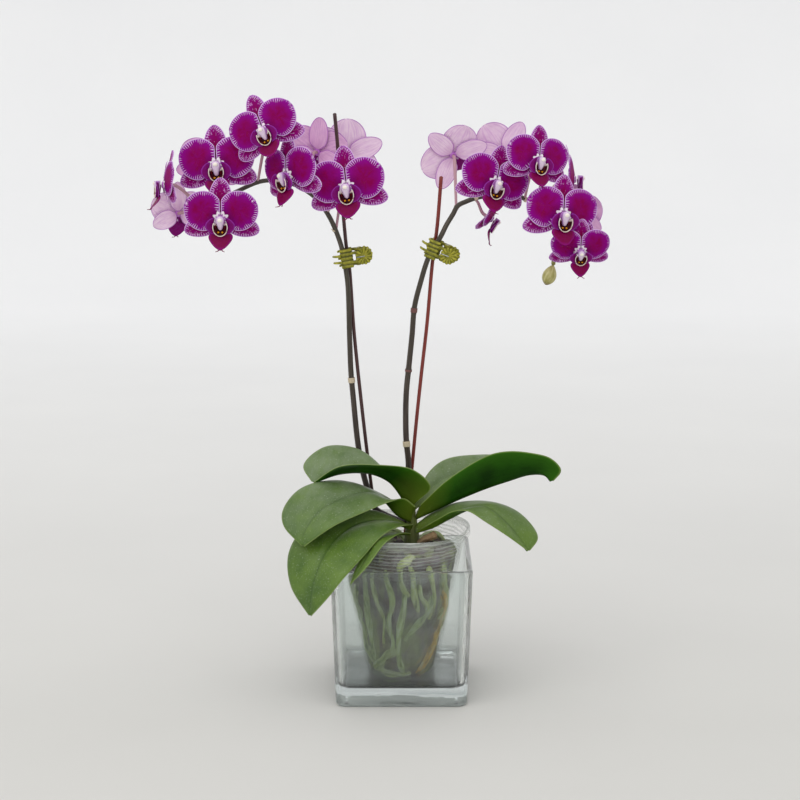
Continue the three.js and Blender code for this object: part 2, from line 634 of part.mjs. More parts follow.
function makeBud() {
  const { at, length, width, lean } = BUD;
  const bud = new THREE.SphereGeometry(0.5, 8, 6).scale(width, width, length);
  bud.rotateY(THREE.MathUtils.degToRad(lean)).translate(...at);
  addMesh("bud", geometryToSolid(bud), COLOURS.bud, 0.5);
}

// Plant clips. In a clip's own frame +Z runs along its pin, +X points to the grips and -Y is the
// moving front half; the back half is the same shape turned to the other side.

const CLIP = {
  halfLength: 7.5, gripX: 3.2, gripRadius: 7.7, scallop: 0.5, scallops: 9, gripInner: 5.6, gripOuter: 7.4,
  knuckle: 2.3, hole: 1.25, pin: 0.9, pinHalf: 7.8, coil: 1.95, coilHalf: 2.2, windowHalf: 2.4,
};
const CLIP_SHELL = [
  [-17.6, 0.8], [-16.2, 1.6], [-14, 5], [-6.4, 5], [-4.6, 2.7], [2.3, 2.7], [3.6, 5.8], [2.5, 6.4], [-5, 6.2],
  [-14.8, 6.6], [-18.2, 2],
];
const CLIP_TINE = [[-17.2, 1.1], [-19.4, -1.2], [-20.2, -0.6], [-18, 2.1]];
const CLIP_HALVES = {
  front: { side: -1, tines: [-2.7, 2.7], knuckles: [2.6, 4.8] },
  back: { side: 1, tines: [-6.5, 0, 6.5], knuckles: [5.1, 7.3] },
};
const CLIPS = [
  { name: "clip_left", at: [-36.8, 3.4, 377.5], tilt: -9, turn: 0 },
  { name: "clip_right", at: [35.8, 0.9, 380.5], tilt: 20, turn: -15 },
];

// A flat outline drawn in X and Y, from low to high
function slabSolid(outline, low, high) {
  const shape = new THREE.Shape(outline.map(([x, y]) => new THREE.Vector2(x, y)));
  const slab = new THREE.ExtrudeGeometry(shape, { depth: high - low, bevelEnabled: false, steps: 1 });
  return geometryToSolid(slab.translate(0, 0, low));
}

function rodSolid(radius, low, high, sides) {
  const rod = new THREE.CylinderGeometry(radius, radius, high - low, sides).rotateX(Math.PI / 2);
  return geometryToSolid(rod.translate(0, 0, (low + high) / 2));
}

function clipHalf({ side, tines, knuckles }) {
  const { halfLength, gripX, gripRadius, scallop, scallops, gripInner, gripOuter, knuckle, hole } = CLIP;
  const turned = (outline) => outline.map(([x, y]) => [x, y * side]);
  const solids = [slabSolid(turned(CLIP_SHELL), -halfLength, halfLength)];
  const tineHalf = 1;
  for (const z of tines) {
    solids.push(slabSolid(turned(CLIP_TINE), z - tineHalf, z + tineHalf));
  }
  const rim = [];
  for (let k = 0; k < 2 * scallops; k++) {
    const angle = (Math.PI * k) / scallops;
    const reach = gripRadius + (k % 2 ? -scallop : scallop);
    rim.push(new THREE.Vector2(reach * Math.cos(angle), reach * Math.sin(angle)));
  }
  const disc = new THREE.ExtrudeGeometry(new THREE.Shape(rim), {
    depth: gripOuter - gripInner, bevelEnabled: false, steps: 1,
  });
  disc.rotateX(Math.PI / 2).translate(gripX, side > 0 ? gripOuter : -gripInner, 0);
  solids.push(geometryToSolid(disc));
  for (const end of [1, -1]) {
    const [low, high] = knuckles.map((z) => z * end).sort((a, b) => a - b);
    solids.push(rodSolid(knuckle, low, high, 6));
    solids.push(slabSolid(turned([[-1.9, 1], [1.9, 1], [1.9, 3.4], [-1.9, 3.4]]), low, high));
  }
  const window = [[-2.8, 1.9], [2.8, 1.9], [2.8, 8], [-2.8, 8]];
  const body = join(solids).subtract(slabSolid(turned(window), -CLIP.windowHalf, CLIP.windowHalf));
  return body.subtract(rodSolid(hole, -halfLength - 1, halfLength + 1, 6));
}

// The wire pin, with the coil of the spring round its middle
function clipPin() {
  const { pin, pinHalf, coil, coilHalf } = CLIP;
  const turns = 3;
  const pitch = (2 * coilHalf) / turns;
  const outline = [[0, -coilHalf]];
  for (let k = 0; k < turns; k++) {
    const z = -coilHalf + k * pitch;
    outline.push([coil - 0.3, z], [coil, z + pitch / 2]);
  }
  outline.push([coil - 0.3, coilHalf], [0, coilHalf]);
  const wound = new THREE.LatheGeometry(outline.map(([r, z]) => new THREE.Vector2(r, z)), 8);
  return rodSolid(pin, -pinHalf, pinHalf, 6).add(geometryToSolid(wound.rotateX(Math.PI / 2)));
}

function makeClips() {
  const pieces = {
    jaw: [clipHalf(CLIP_HALVES.front), COLOURS.clip],
    back: [clipHalf(CLIP_HALVES.back), COLOURS.clip],
    pin: [clipPin(), COLOURS.steel],
  };
  for (const { name, at, tilt, turn } of CLIPS) {
    const aim = new THREE.Euler(0, THREE.MathUtils.degToRad(tilt), THREE.MathUtils.degToRad(turn), "ZYX");
    const matrix = new THREE.Matrix4().makeRotationFromEuler(aim).setPosition(...at);
    for (const [part, [solid, colour]] of Object.entries(pieces)) {
      addMesh(`${name}_${part}`, placed(solidToGeometry(solid), matrix), colour, 0.35, part === "pin" ? 1 : 0);
    }
  }
}

makeVase();
makePot();
makeMedium();
addMesh("crown_and_roots", join([crownSolid(0), rootsSolid(0)]), COLOURS.root, 0.8);
makeLeaves();
makeStakes();
makeSpikes();
makeBlooms();
makeBud();
makeClips();

export default model;
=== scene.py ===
"""A two-spike moth orchid in a clear pot and a glass vase: the looks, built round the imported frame."""

import math

import bpy
import numpy as np
from mathutils import Matrix, Vector


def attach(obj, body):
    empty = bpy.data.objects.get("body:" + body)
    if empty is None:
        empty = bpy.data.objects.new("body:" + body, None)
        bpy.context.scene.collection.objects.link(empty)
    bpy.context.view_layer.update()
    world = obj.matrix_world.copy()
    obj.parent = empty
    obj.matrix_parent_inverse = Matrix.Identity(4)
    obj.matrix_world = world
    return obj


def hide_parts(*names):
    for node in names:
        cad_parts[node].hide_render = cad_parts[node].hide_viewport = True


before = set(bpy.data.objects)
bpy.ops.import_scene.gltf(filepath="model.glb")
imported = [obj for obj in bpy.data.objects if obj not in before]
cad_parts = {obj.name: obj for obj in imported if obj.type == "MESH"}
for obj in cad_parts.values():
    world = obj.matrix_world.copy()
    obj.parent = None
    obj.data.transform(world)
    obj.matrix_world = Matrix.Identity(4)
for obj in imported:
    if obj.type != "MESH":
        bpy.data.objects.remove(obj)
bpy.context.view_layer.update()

# All sizes below are in millimetres, and meshes are scaled once when they are made
MM = 0.001
PLANT = "plant_and_vase"
SEED = 11

VASE = {"mouth_half": 60, "base_half": 56, "height": 120, "wall": 4.8, "floor": 15, "corner": 9, "edge": 2}
POT = {
    "foot": 15.3, "foot_radius": 31, "shoulder_radius": 54.2, "shoulder": 137, "flange_radius": 59.5,
    "top": 145, "wall": 1.2,
}
POT_RINGS = {"low": 104, "pitch": 3.1, "depth": 0.55}
MEDIUM = {"top": 123, "dome": 5, "bottom": 16.9}
CROWN = {"x": 9, "y": 1, "radius_x": 7.5, "radius_y": 6, "low": 116, "high": 163}
PETAL = {"reach": 33, "width": 17.2, "level": 1.3, "fullness": 0.85, "curl": 0.5, "taper": 0}
SEPAL = {"reach": 34, "width": 9.8, "level": -1, "fullness": 0.95, "curl": 0.7, "taper": 0.12}
PETAL_ANGLES = (24, 156)
SEPAL_ANGLES = (90, -22, 202)
TEPAL_START = 1.8
OUTLINE_STEPS = 90
BLADE = 0.8
CONE = 0.2
STAR_TEETH = 9
# The stout middle of a bloom's back: radius and place at each ring
HUB = [(2.2, -3.0), (3.1, -2.4), (3.5, 0.0), (3.3, 1.4), (2.4, 2.0)]
LIP_LENGTH = 24
# The column from its top down to the lip: place, half width, and height above the bloom's middle
COLUMN = [
    (4, 0.8, 6.8), (3.8, 2, 8.2), (3, 3.2, 9.3), (1.6, 3.7, 9.9), (-0.4, 3.6, 9.7), (-2.8, 3, 8.9),
    (-5, 2.4, 7.9), (-6.8, 1.9, 7), (-7.7, 1.3, 6.4), (-8, 0.4, 5.6),
]
COLUMN_LOW = 3.2
SPIKE = {"base": 2.7, "tip": 1.7}
PEDICEL_RADIUS = 1.2
STAKE_RADIUS = 1.55
# How far a leaf's blade arches, and how thick its rim is, as shares of its half width and its middle
LEAF_ARCH = 0.07
LEAF_EDGE = 0.45
BUD = {"at": (124, -4, 362.6), "length": 18, "width": 12, "lean": 20}

# Blooms whose backs lie in shade: they take a deeper mauve copy of the back's colour, which is painted shade
SHADED_BACKS = ("left_9", "left_6", "right_8")

# Where each bloom's middle is, the way it faces (turn, nod), its roll and size, and its pedicel's share
BLOOMS = {
    "left_1": ((-112, -26, 483), -12, 4, 25, 0.95, 0.86),
    "left_2": ((-152.5, -13.5, 454), 0, 4, 4, 1, 0.93),
    "left_3": ((-147.5, -38, 412.5), 0, -8, 0, 0.97, 0.945),
    "left_4": ((-197, -8, 438), -76, 3, 4, 0.85, 0.985),
    "left_5": ((-190, 26, 411), -155, -10, 0, 0.78, 0.995),
    "left_6": ((-162, 34, 453), 175, 0, 10, 0.85, 0.965),
    "left_7": ((-94, -24, 446.5), -42, -4, 8, 0.96, 0.82),
    "left_8": ((-45, -26, 437), -6, 0, 7, 1.01, 0.7),
    "left_9": ((-71, 26, 463), 165, 0, 10, 0.88, 0.77),
    "left_10": ((-47, 46, 459), 184, 0, 68, 0.95, 0.66),
    "right_1": ((43.5, 28, 460.5), 186, 16, -46, 0.88, 0.66),
    "right_2": ((77, -24, 440), 18, 0, -16, 0.95, 0.735),
    "right_3": ((112.5, -22, 458.5), 20, 4, -9, 0.88, 0.8),
    "right_4": ((87.5, 37, 460.5), 175, 0, 29, 0.92, 0.765),
    "right_5": ((132, -34, 415), 15, 0, -6, 0.98, 0.86),
    "right_6": ((147, -31, 385.5), 4, -22, 0, 0.78, 0.92),
    "right_7": ((145, 14, 441), 85, 0, 0, 0.85, 0.83),
    "right_8": ((150.5, 36, 408.5), 150, 0, 0, 0.8, 0.9),
    "right_9": ((76, 15, 407.5), 80, -32, -6, 0.78, 0.7),
}
# Each node is its share of the spike's length, its sheath's length, and the sheath's finish
SPIKES = {
    "left": {
        "nodes": [(0.347, 4.6, 1)],
        "points": [
            (3, 1.5, 146), (-4, 6, 148), (-13, 11, 150.5), (-23, 14.5, 156), (-28.5, 16, 170),
            (-33.5, 17, 188), (-37.8, 17, 214), (-41.5, 15, 254), (-43.3, 13, 276.5), (-44.2, 9.5, 307),
            (-45.3, 5, 352.5), (-47, 3, 367), (-48.5, 1, 377), (-51, 0, 388), (-56.5, 0, 403),
            (-61.5, 0, 413), (-70, 1, 425), (-82, 2, 434), (-97, 2, 440), (-116, 2, 440.5),
            (-136, 2, 432.5), (-155.5, 3, 422.5), (-172, 4, 412),
        ],
    },
    "right": {
        "nodes": [(0.165, 5, 1), (0.318, 2, 3), (0.438, 4, 3)],
        "points": [
            (11, 3, 145), (8.5, 9, 153), (6.5, 11, 165), (6, 12, 181), (6, 12, 198), (4, 11, 219),
            (4, 10, 257.5), (6.4, 9, 283.5), (9, 8, 310), (11, 6.5, 334), (15.6, 4.5, 353.5),
            (22.6, 2, 376.5), (27.9, 0.4, 386), (33.3, -1, 395.5), (37.5, 0, 404), (43, 1, 413),
            (47, 1, 420), (54, 2, 423.5), (64.5, 3, 427), (81, 4, 428.5), (98, 4, 427.5), (104, 4, 425),
            (120, 4, 416), (134, 4, 402), (143, 4, 388), (141.5, 3, 378), (136, 1, 376),
            (130.5, -1, 376.5), (127.6, -3, 374.6), (127.1, -4, 371.4),
        ],
    },
}
STAKES = {
    "left": [
        (-17, 26, 96), (-20.5, 24, 129), (-26.6, 20.5, 177), (-34.2, 16, 246), (-40.5, 12, 312),
        (-43.9, 7.15, 366), (-46.2, 5.6, 383), (-48.6, 4.2, 410), (-53.2, 2.5, 471), (-55.4, 2, 496),
    ],
    "right": [
        (1, 20, 96), (3, 18.5, 129), (9.2, 17, 193), (12.5, 15, 230), (17, 13.5, 275), (21.7, 11, 319),
        (26.3, 7, 374), (29.8, 3, 402), (33, 1, 444),
    ],
}

# Each leaf is spanned by its keel, its edge towards the front and its edge towards the back
LEAVES = {
    "upper_left": {
        "thick": 2.4, "tone": 0.0,
        "keel": [(7, -4, 157.8), (-1, -7, 173.6), (-11, -10, 187), (-26, -12, 194), (-52, -13, 194),
                 (-76, -12, 185)],
        "near": [(15, -8, 169), (25, -11, 181), (10, -18, 198), (-18, -26, 204), (-51, -30, 204),
                 (-76, -12, 185)],
        "far": [(5, 0, 163), (-3, 2, 177), (-19, 4, 197), (-38, 6, 211), (-66, 4, 213), (-84, -2, 198),
                (-76, -12, 185)],
    },
    "middle_left": {
        "thick": 2.4, "tone": 0.0,
        "keel": [(7.6, -3.4, 149), (-4, -10, 157.5), (-14, -14, 170), (-27, -19, 178), (-48, -28, 176),
                 (-70, -40, 166), (-83, -54, 147), (-82, -58, 141)],
        "near": [(12, -10, 164), (3, -15, 172), (-8, -27, 173), (-34, -46, 167), (-57, -58, 159),
                 (-82, -58, 141)],
        "far": [(3, -2, 157), (-7, -3, 167), (-27, -4, 178), (-58, -10, 187), (-86, -20, 182),
                (-100, -34, 167), (-99, -44, 156), (-82, -58, 141)],
    },
    "lower_left": {
        "thick": 2.4, "tone": 0.0,
        "keel": [(8, -8, 144), (-6, -15, 151), (-23, -25, 155), (-39, -34, 153), (-53, -44, 146),
                 (-64, -57, 134), (-73, -70, 112), (-76, -76, 86)],
        "near": [(10, -10, 148), (-3, -30, 151), (-17, -57, 150), (-32, -69, 136), (-47, -81, 122),
                 (-61, -84, 105), (-76, -76, 86)],
        "far": [(5, -5, 147), (-4, -10, 153), (-25, -15, 162), (-57, -21, 161), (-82, -30, 151),
                (-95, -43, 132), (-93, -56, 108), (-76, -76, 86)],
    },
    "small_lower_left": {
        "thick": 2, "tone": 0.25,
        "keel": [(7, -8, 139), (-1, -18, 142), (-11, -38, 145), (-21, -55, 146.3), (-31, -68, 131),
                 (-43, -79, 115)],
        "near": [(8, -11, 140), (0, -28, 145), (-8, -52, 147.5), (-15, -64, 145), (-29, -76, 129),
                 (-43, -79, 115)],
        "far": [(4, -6, 140), (-5, -19, 142), (-17, -34, 145), (-27, -50, 146.3), (-36, -65, 131),
                (-43, -79, 115)],
    },
    "upper_right": {
        "thick": 2.6, "tone": 0.0,
        "keel": [(12, -3, 152), (26, -5, 159), (48, -7, 170), (71, -8, 180), (90, -9, 187), (110, -9, 193),
                 (123, -9, 192), (129, -9, 185)],
        "near": [(17, -9, 166), (40, -10, 188), (73, -12, 209), (90, -13, 213), (109, -14, 212),
                 (127, -14, 207), (136, -12, 196), (129, -9, 185)],
        "far": [(16, 6, 159), (38, 8, 172), (72, 14, 189), (98, 16, 195), (124, 12, 197), (133, 2, 193),
                (129, -9, 185)],
    },
    "back_right": {
        "thick": 2.4, "tone": 0.1,
        "keel": [(9, 3, 156), (30, 12, 178), (51, 18, 187), (74, 24, 192), (96, 28, 192), (112, 32, 184)],
        "near": [(12, 2, 158), (38, 6, 178), (64, 12, 190), (90, 18, 196), (112, 32, 184)],
        "far": [(8, 7, 160), (24, 17, 188), (38, 25, 197), (62, 34, 199), (91, 40, 196), (112, 32, 184)],
    },
    "lower_right": {
        "thick": 2.4, "tone": 0.3,
        "keel": [(12, -6, 140), (26, -11, 146), (41, -17, 156), (57, -22, 165), (71, -26, 167),
                 (86, -31, 157), (108, -36, 131)],
        "near": [(17, -10, 144), (31, -19, 155), (44, -27, 164), (56, -34, 166), (71, -40, 158),
                 (89, -44, 147), (108, -36, 131)],
        "far": [(13, -1, 146), (25, 0, 155), (46, -2, 165), (76, -6, 167), (101, -13, 159), (116, -24, 141),
                (108, -36, 131)],
    },
}

# Roots that show through the pot's wall: -1 for its front or 1 for its back, a radius that is then
# widened, the tone, and sideways places with their heights
ROOT_WIDENING = 1.3
ROOT_STEPS = 60
ROOTS = [
    (-1, 2.7, 0.2, [(-33, 118), (-31, 108), (-29, 80), (-25, 50), (-22, 24)]),
    (-1, 1.6, 0.45, [(-24, 116), (-25, 108), (-21.4, 89), (-15, 71), (-16, 48)]),
    (-1, 2.6, 0.55, [(6, 126), (-1, 122), (-1, 113), (2, 100), (6, 94)]),
    (-1, 2.2, 0.25, [(3, 101), (2, 84), (-2, 60), (-2, 34), (2, 19)]),
    (-1, 2.3, 0.5, [(8, 122), (9.7, 111), (10.8, 94), (15, 78)]),
    (-1, 3.2, 0.3, [(-24, 20), (-20, 24), (-12, 37), (-2, 43), (2, 44)]),
    (-1, 2.4, 0.9, [(34, 96), (36, 79), (31.5, 59), (25, 39), (16, 23), (4, 19)]),
    (-1, 2.4, 0.15, [(27, 92), (21, 76), (11, 64), (3, 52)]),
    (-1, 2.5, 0.35, [(36, 120), (36, 104), (37, 84), (32, 66)]),
    (-1, 2.2, 0.6, [(24, 118), (26, 104), (28, 90), (24, 70)]),
    (-1, 2.4, 0.1, [(-44, 112), (-42, 92), (-36, 74), (-33, 56)]),
    (-1, 2.2, 0.3, [(-14, 118), (-12, 106), (-8, 92), (-9, 74)]),
    (-1, 2.3, 0.3, [(-40, 100), (-37, 78), (-32, 58), (-27, 34), (-18, 20)]),
    (-1, 1.8, 0.4, [(14, 108), (17, 92), (22, 82), (20, 70)]),
    (-1, 2.0, 0.5, [(37, 100), (39, 86), (36, 70), (33, 56), (28, 44)]),
    (-1, 2.2, 0.35, [(-22, 26), (-14, 20), (-2, 19), (10, 20)]),
    (-1, 1.7, 0.2, [(-9, 84), (-11, 66), (-7, 50), (-9, 36)]),
    (1, 2.8, 0.3, [(-30, 116), (-34, 90), (-24, 62), (-18, 30)]),
    (1, 2.8, 0.5, [(-6, 118), (-2, 92), (-10, 62), (4, 24)]),
    (1, 2.8, 0.2, [(22, 116), (28, 92), (18, 62), (22, 34)]),
    (1, 2.6, 0.7, [(42, 112), (38, 92), (34, 70), (20, 44)]),
]

# Two short aerial roots on the stem, each with its tone, and the dry stump of an old leaf
AERIAL_ROOTS = [
    ([(4, 4, 130), (-4, 12, 136), (-12, 20, 132), (-18, 26, 124)], 0.3),
    ([(14, 4, 128), (22, 14, 133), (32, 24, 130), (38, 28, 122)], 0.5),
]
STUMP = [(15, -4, 130), (20, -7, 134.5), (25, -9, 137), (28.5, -10, 139)]


# Curves and closed shells

def rows(*columns):
    """Numbers side by side, one row to each point, from columns that are arrays or single numbers."""
    return np.stack(np.broadcast_arrays(*columns), -1)


def circle(count):
    """Angles spaced evenly round one turn."""
    return np.linspace(0, 2 * math.pi, count, endpoint=False)


class Curve:
    """A centripetal Catmull-Rom curve, walked by its length as the CAD's curves are."""

    def __init__(self, points, divisions=200):
        points = np.array(points, float)
        self.spans = len(points) - 1
        self.points = np.vstack([2 * points[0] - points[1], points, 2 * points[-1] - points[-2]])
        self.shares = np.linspace(0, 1, divisions + 1)
        self.lengths = lengths_along(self.raw(self.shares))

    def raw(self, share):
        place = np.clip(share, 0, 1) * self.spans
        first = np.minimum(place.astype(int), self.spans - 1)
        weight = (place - first)[:, None]
        p0, p1, p2, p3 = (self.points[first + k] for k in range(4))
        d0, d1, d2 = (
            np.maximum(np.sqrt(np.linalg.norm(b - a, axis=1)), 1e-4)[:, None]
            for a, b in ((p0, p1), (p1, p2), (p2, p3))
        )
        t1 = ((p1 - p0) / d0 - (p2 - p0) / (d0 + d1) + (p2 - p1) / d1) * d1
        t2 = ((p2 - p1) / d1 - (p3 - p1) / (d1 + d2) + (p3 - p2) / d2) * d1
        c2 = 3 * (p2 - p1) - 2 * t1 - t2
        c3 = 2 * (p1 - p2) + t1 + t2
        return p1 + weight * (t1 + weight * (c2 + weight * c3))

    def at(self, share):
        length = np.clip(np.atleast_1d(share), 0, 1) * self.lengths[-1]
        return self.raw(np.interp(length, self.lengths, self.shares))

    def steps(self, count):
        return self.at(np.linspace(0, 1, count))


def unit(vectors):
    return vectors / np.maximum(np.linalg.norm(vectors, axis=-1, keepdims=True), 1e-9)


def lengths_along(path):
    """How far along a path each of its points lies."""
    return np.concatenate([[0], np.cumsum(np.linalg.norm(np.diff(path, axis=0), axis=1))])


def signed_volume(points, faces):
    total = 0.0
    for face in faces:
        corners = points[list(face)]
        fans = np.cross(corners[1:-1], corners[2:])
        total += float(np.sum(fans @ corners[0]))
    return total


class Piece:
    """Closed shells gathered into one mesh, with two marks at each point that the materials read."""

    def __init__(self):
        self.points = []
        self.faces = []
        self.finishes = []
        self.marks = {"rim": [], "fan": []}
        self.count = 0

    def add(self, points, faces, finishes, rim=None, fan=None):
        if signed_volume(points, faces) < 0:
            faces = [list(reversed(face)) for face in faces]
        self.points.append(points)
        self.faces.extend([[k + self.count for k in face] for face in faces])
        self.finishes.extend(finishes)
        for name, mark in (("rim", rim), ("fan", fan)):
            self.marks[name].append(np.zeros_like(points) if mark is None else mark)
        self.count += len(points)

    def make(self, name, finishes, slot, replaces, matrix=None, body=PLANT, sharp=None):
        points = np.vstack(self.points)
        if matrix is not None:
            points = points @ matrix[:3, :3].T + matrix[:3, 3]
        mesh = bpy.data.meshes.new(name)
        mesh.from_pydata((points * MM).tolist(), [], self.faces)
        for finish in finishes:
            mesh.materials.append(FINISH[finish])
        mesh.polygons.foreach_set("material_index", self.finishes)
        mesh.polygons.foreach_set("use_smooth", [True] * len(self.faces))
        for mark, values in self.marks.items():
            attribute = mesh.attributes.new(mark, "FLOAT_VECTOR", "POINT")
            attribute.data.foreach_set("vector", np.vstack(values).astype(np.float32).ravel())
        mesh.update()
        if sharp is not None:
            mesh.set_sharp_from_angle(angle=math.radians(sharp))
        piece = bpy.data.objects.new(name, mesh)
        bpy.context.scene.collection.objects.link(piece)
        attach(piece, body)
        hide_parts(*replaces)


def add_blade(piece, place, columns, rows_across, front=0, back=0):
    """A closed thin blade: place(u, v) gives its middle, half its thickness, and its two marks."""
    u, v = np.meshgrid(np.linspace(0, 1, columns + 1), np.linspace(0, 1, rows_across + 1), indexing="ij")
    middle, half, rim, fan = place(u.ravel(), v.ravel())
    across = rows_across + 1
    layer = (columns + 1) * across
    faces = []
    finishes = []
    for i in range(columns):
        for j in range(rows_across):
            a = i * across + j
            face = [a, a + across, a + across + 1, a + 1]
            faces += [face, [k + layer for k in reversed(face)]]
            finishes += [front, back]
    border = [i * across for i in range(columns)] + [columns * across + j for j in range(rows_across)]
    border += [i * across + rows_across for i in range(columns, 0, -1)] + list(range(rows_across, 0, -1))
    for a, b in zip(border, border[1:] + border[:1]):
        faces.append([b, a, a + layer, b + layer])
        finishes.append(front)
    points = np.vstack([middle + half, middle - half])
    piece.add(points, faces, finishes, np.vstack([rim, rim]), np.vstack([fan, fan]))


def add_loft(piece, rings, finish=0, rim=None, fan=None):
    """Closed rings stacked into one shell, with a flat face at each end."""
    rings = np.asarray(rings, float)
    levels, count, _ = rings.shape
    faces = []
    for level in range(levels - 1):
        for k in range(count):
            a = level * count + k
            b = level * count + (k + 1) % count
            faces.append([a, b, b + count, a + count])
    faces.append(list(range(count - 1, -1, -1)))
    faces.append([(levels - 1) * count + k for k in range(count)])
    marks = [None if m is None else np.asarray(m, float).reshape(-1, 3) for m in (rim, fan)]
    piece.add(rings.reshape(-1, 3), faces, [finish] * len(faces), *marks)


# The rings of a tube's domed end: each one's share of the radius, and how far in it lies
DOME = ((0.45, 0.55), (0.8, 0.85))
DOME_HEIGHT = 0.9


def add_tube(piece, path, radii, sides=16, finish=0, tone=0.0, squeeze=1.0, twist=None):
    """A round stem along the points of path, with domed ends. The rim mark holds place round and along."""
    path = np.asarray(path, float)
    radii = np.broadcast_to(np.asarray(radii, float), (len(path),))
    heading = unit(np.gradient(path, axis=0))
    beyond = [DOME_HEIGHT * (1 - share) for _, share in DOME]
    front = [path[0] - heading[0] * radii[0] * share for share in beyond]
    rear = [path[-1] + heading[-1] * radii[-1] * share for share in reversed(beyond)]
    shrink = np.array([share for share, _ in DOME])
    path = np.vstack([front, path, rear])
    radii = np.concatenate([shrink * radii[0], radii, shrink[::-1] * radii[-1]])
    heading = unit(np.gradient(path, axis=0))
    side = np.cross(heading[0], (0.31, 0.87, 0.39))
    lengths = lengths_along(path)
    angle = circle(sides)
    rings, rims, fans = [], [], []
    for k, (centre, radius) in enumerate(zip(path, radii)):
        side = unit(side - heading[k] * np.dot(side, heading[k]))
        other = np.cross(heading[k], side)
        reach = radius if twist is None else radius * twist(angle, lengths[k])
        ring = np.outer(np.cos(angle) * reach, side) + np.outer(np.sin(angle) * reach * squeeze, other)
        rings.append(centre + ring)
        rims.append(rows(angle * radius, lengths[k], radius))
        fans.append(rows(lengths[k] / lengths[-1], tone, angle))
    add_loft(piece, rings, finish, rims, fans)


def waves(points, size, seed):
    """Soft lumpy relief from -1 to 1 over places in millimetres, the same on each run."""
    random = np.random.default_rng(seed)
    total = np.zeros(len(points))
    for octave in range(3):
        for _ in range(3):
            direction = unit(random.normal(size=3)) * 2 * math.pi / (size / (1.7 ** octave))
            total += np.sin(points @ direction + random.uniform(0, 6.28)) / (1.6 ** octave)
    return total / 4.5


# Materials

def linear(hex_colour):
    """An sRGB hex value as the linear colour that a shader takes."""
    channels = [int(hex_colour[k:k + 2], 16) / 255 for k in (1, 3, 5)]
    return tuple(c / 12.92 if c <= 0.04045 else ((c + 0.055) / 1.055) ** 2.4 for c in channels) + (1.0,)


def fill(owner, socket, value):
    """Gives an input another node's output, a hex colour or a plain value."""
    if isinstance(value, bpy.types.NodeSocket):
        owner.node_tree.links.new(value, socket)
    else:
        socket.default_value = linear(value) if isinstance(value, str) else value


def add_node(owner, kind, *values, **named):
    """Adds a shader node and returns its outputs. The values fill its inputs in order. Names in lower case
    are the node's own settings, and the others are inputs."""
    node = owner.node_tree.nodes.new("ShaderNode" + kind)
    for key, value in named.items():
        if key.islower():
            setattr(node, key, value)
    inputs = {socket.identifier.replace(" ", "_"): socket for socket in node.inputs}
    for socket, value in zip(node.inputs, values):
        fill(owner, socket, value)
    for key, value in named.items():
        if not key.islower():
            fill(owner, inputs[key], value)
    return node.outputs


class Look:
    """A material in the making: its shader, and the colour that it has so far."""

    def __init__(self, name, colour, **sockets):
        self.material = bpy.data.materials.new(name)
        self.material.use_nodes = True
        self.shader = self.material.node_tree.nodes["Principled BSDF"]
        self.colour = colour
        self.shade(**sockets)

    def shade(self, **sockets):
        for name, value in sockets.items():
            fill(self.material, self.shader.inputs[name.replace("_", " ")], value)

    def add(self, kind, *values, **named):
        return add_node(self.material, kind, *values, **named)

    def mark(self, name, part=None):
        """A mark that the mesh carries, or one of its three numbers. On a blade, rim is the place along the
        rim, the depth from it and the distance from the middle, and fan is across, along and turn or tone.
        On a stem, rim is the place round it, along it and its radius, and fan is share, tone and angle."""
        vector = self.add("Attribute", attribute_name=name)["Vector"]
        return vector if part is None else self.add("SeparateXYZ", vector)[part]

    def place(self, part=None):
        """Where a point is, in metres."""
        vector = self.add("TexCoord")["Object"]
        return vector if part is None else self.add("SeparateXYZ", vector)[part]

    def patches(self, vector, stretch, detail, **inputs):
        """Soft patches from 0 to 1, each one unit wide once the vector is stretched."""
        stretched = self.add("VectorMath", vector, stretch, operation="MULTIPLY")[0]
        return self.add("TexNoise", stretched, Scale=1, Detail=detail, **inputs)[0]

    def lay(self, colour, value, low=0.0, high=1.0, strength=1.0):
        """Lays a colour over the one so far, ever more strongly as a value runs from low to high."""
        share = self.add("MapRange", value, low, high, 0.0, strength)[0]
        self.colour = self.add("Mix", share, A_Color=self.colour, B_Color=colour, data_type="RGBA")[2]

    def finish(self, relief=None, height=0.0, strength=1.0):
        """Gives the shader its colour, and a relief of that height in metres."""
        self.shade(Base_Color=self.colour)
        if relief is not None:
            self.shade(Normal=self.add("Bump", Height=relief, Distance=height, Strength=strength)[0])
        return self.material


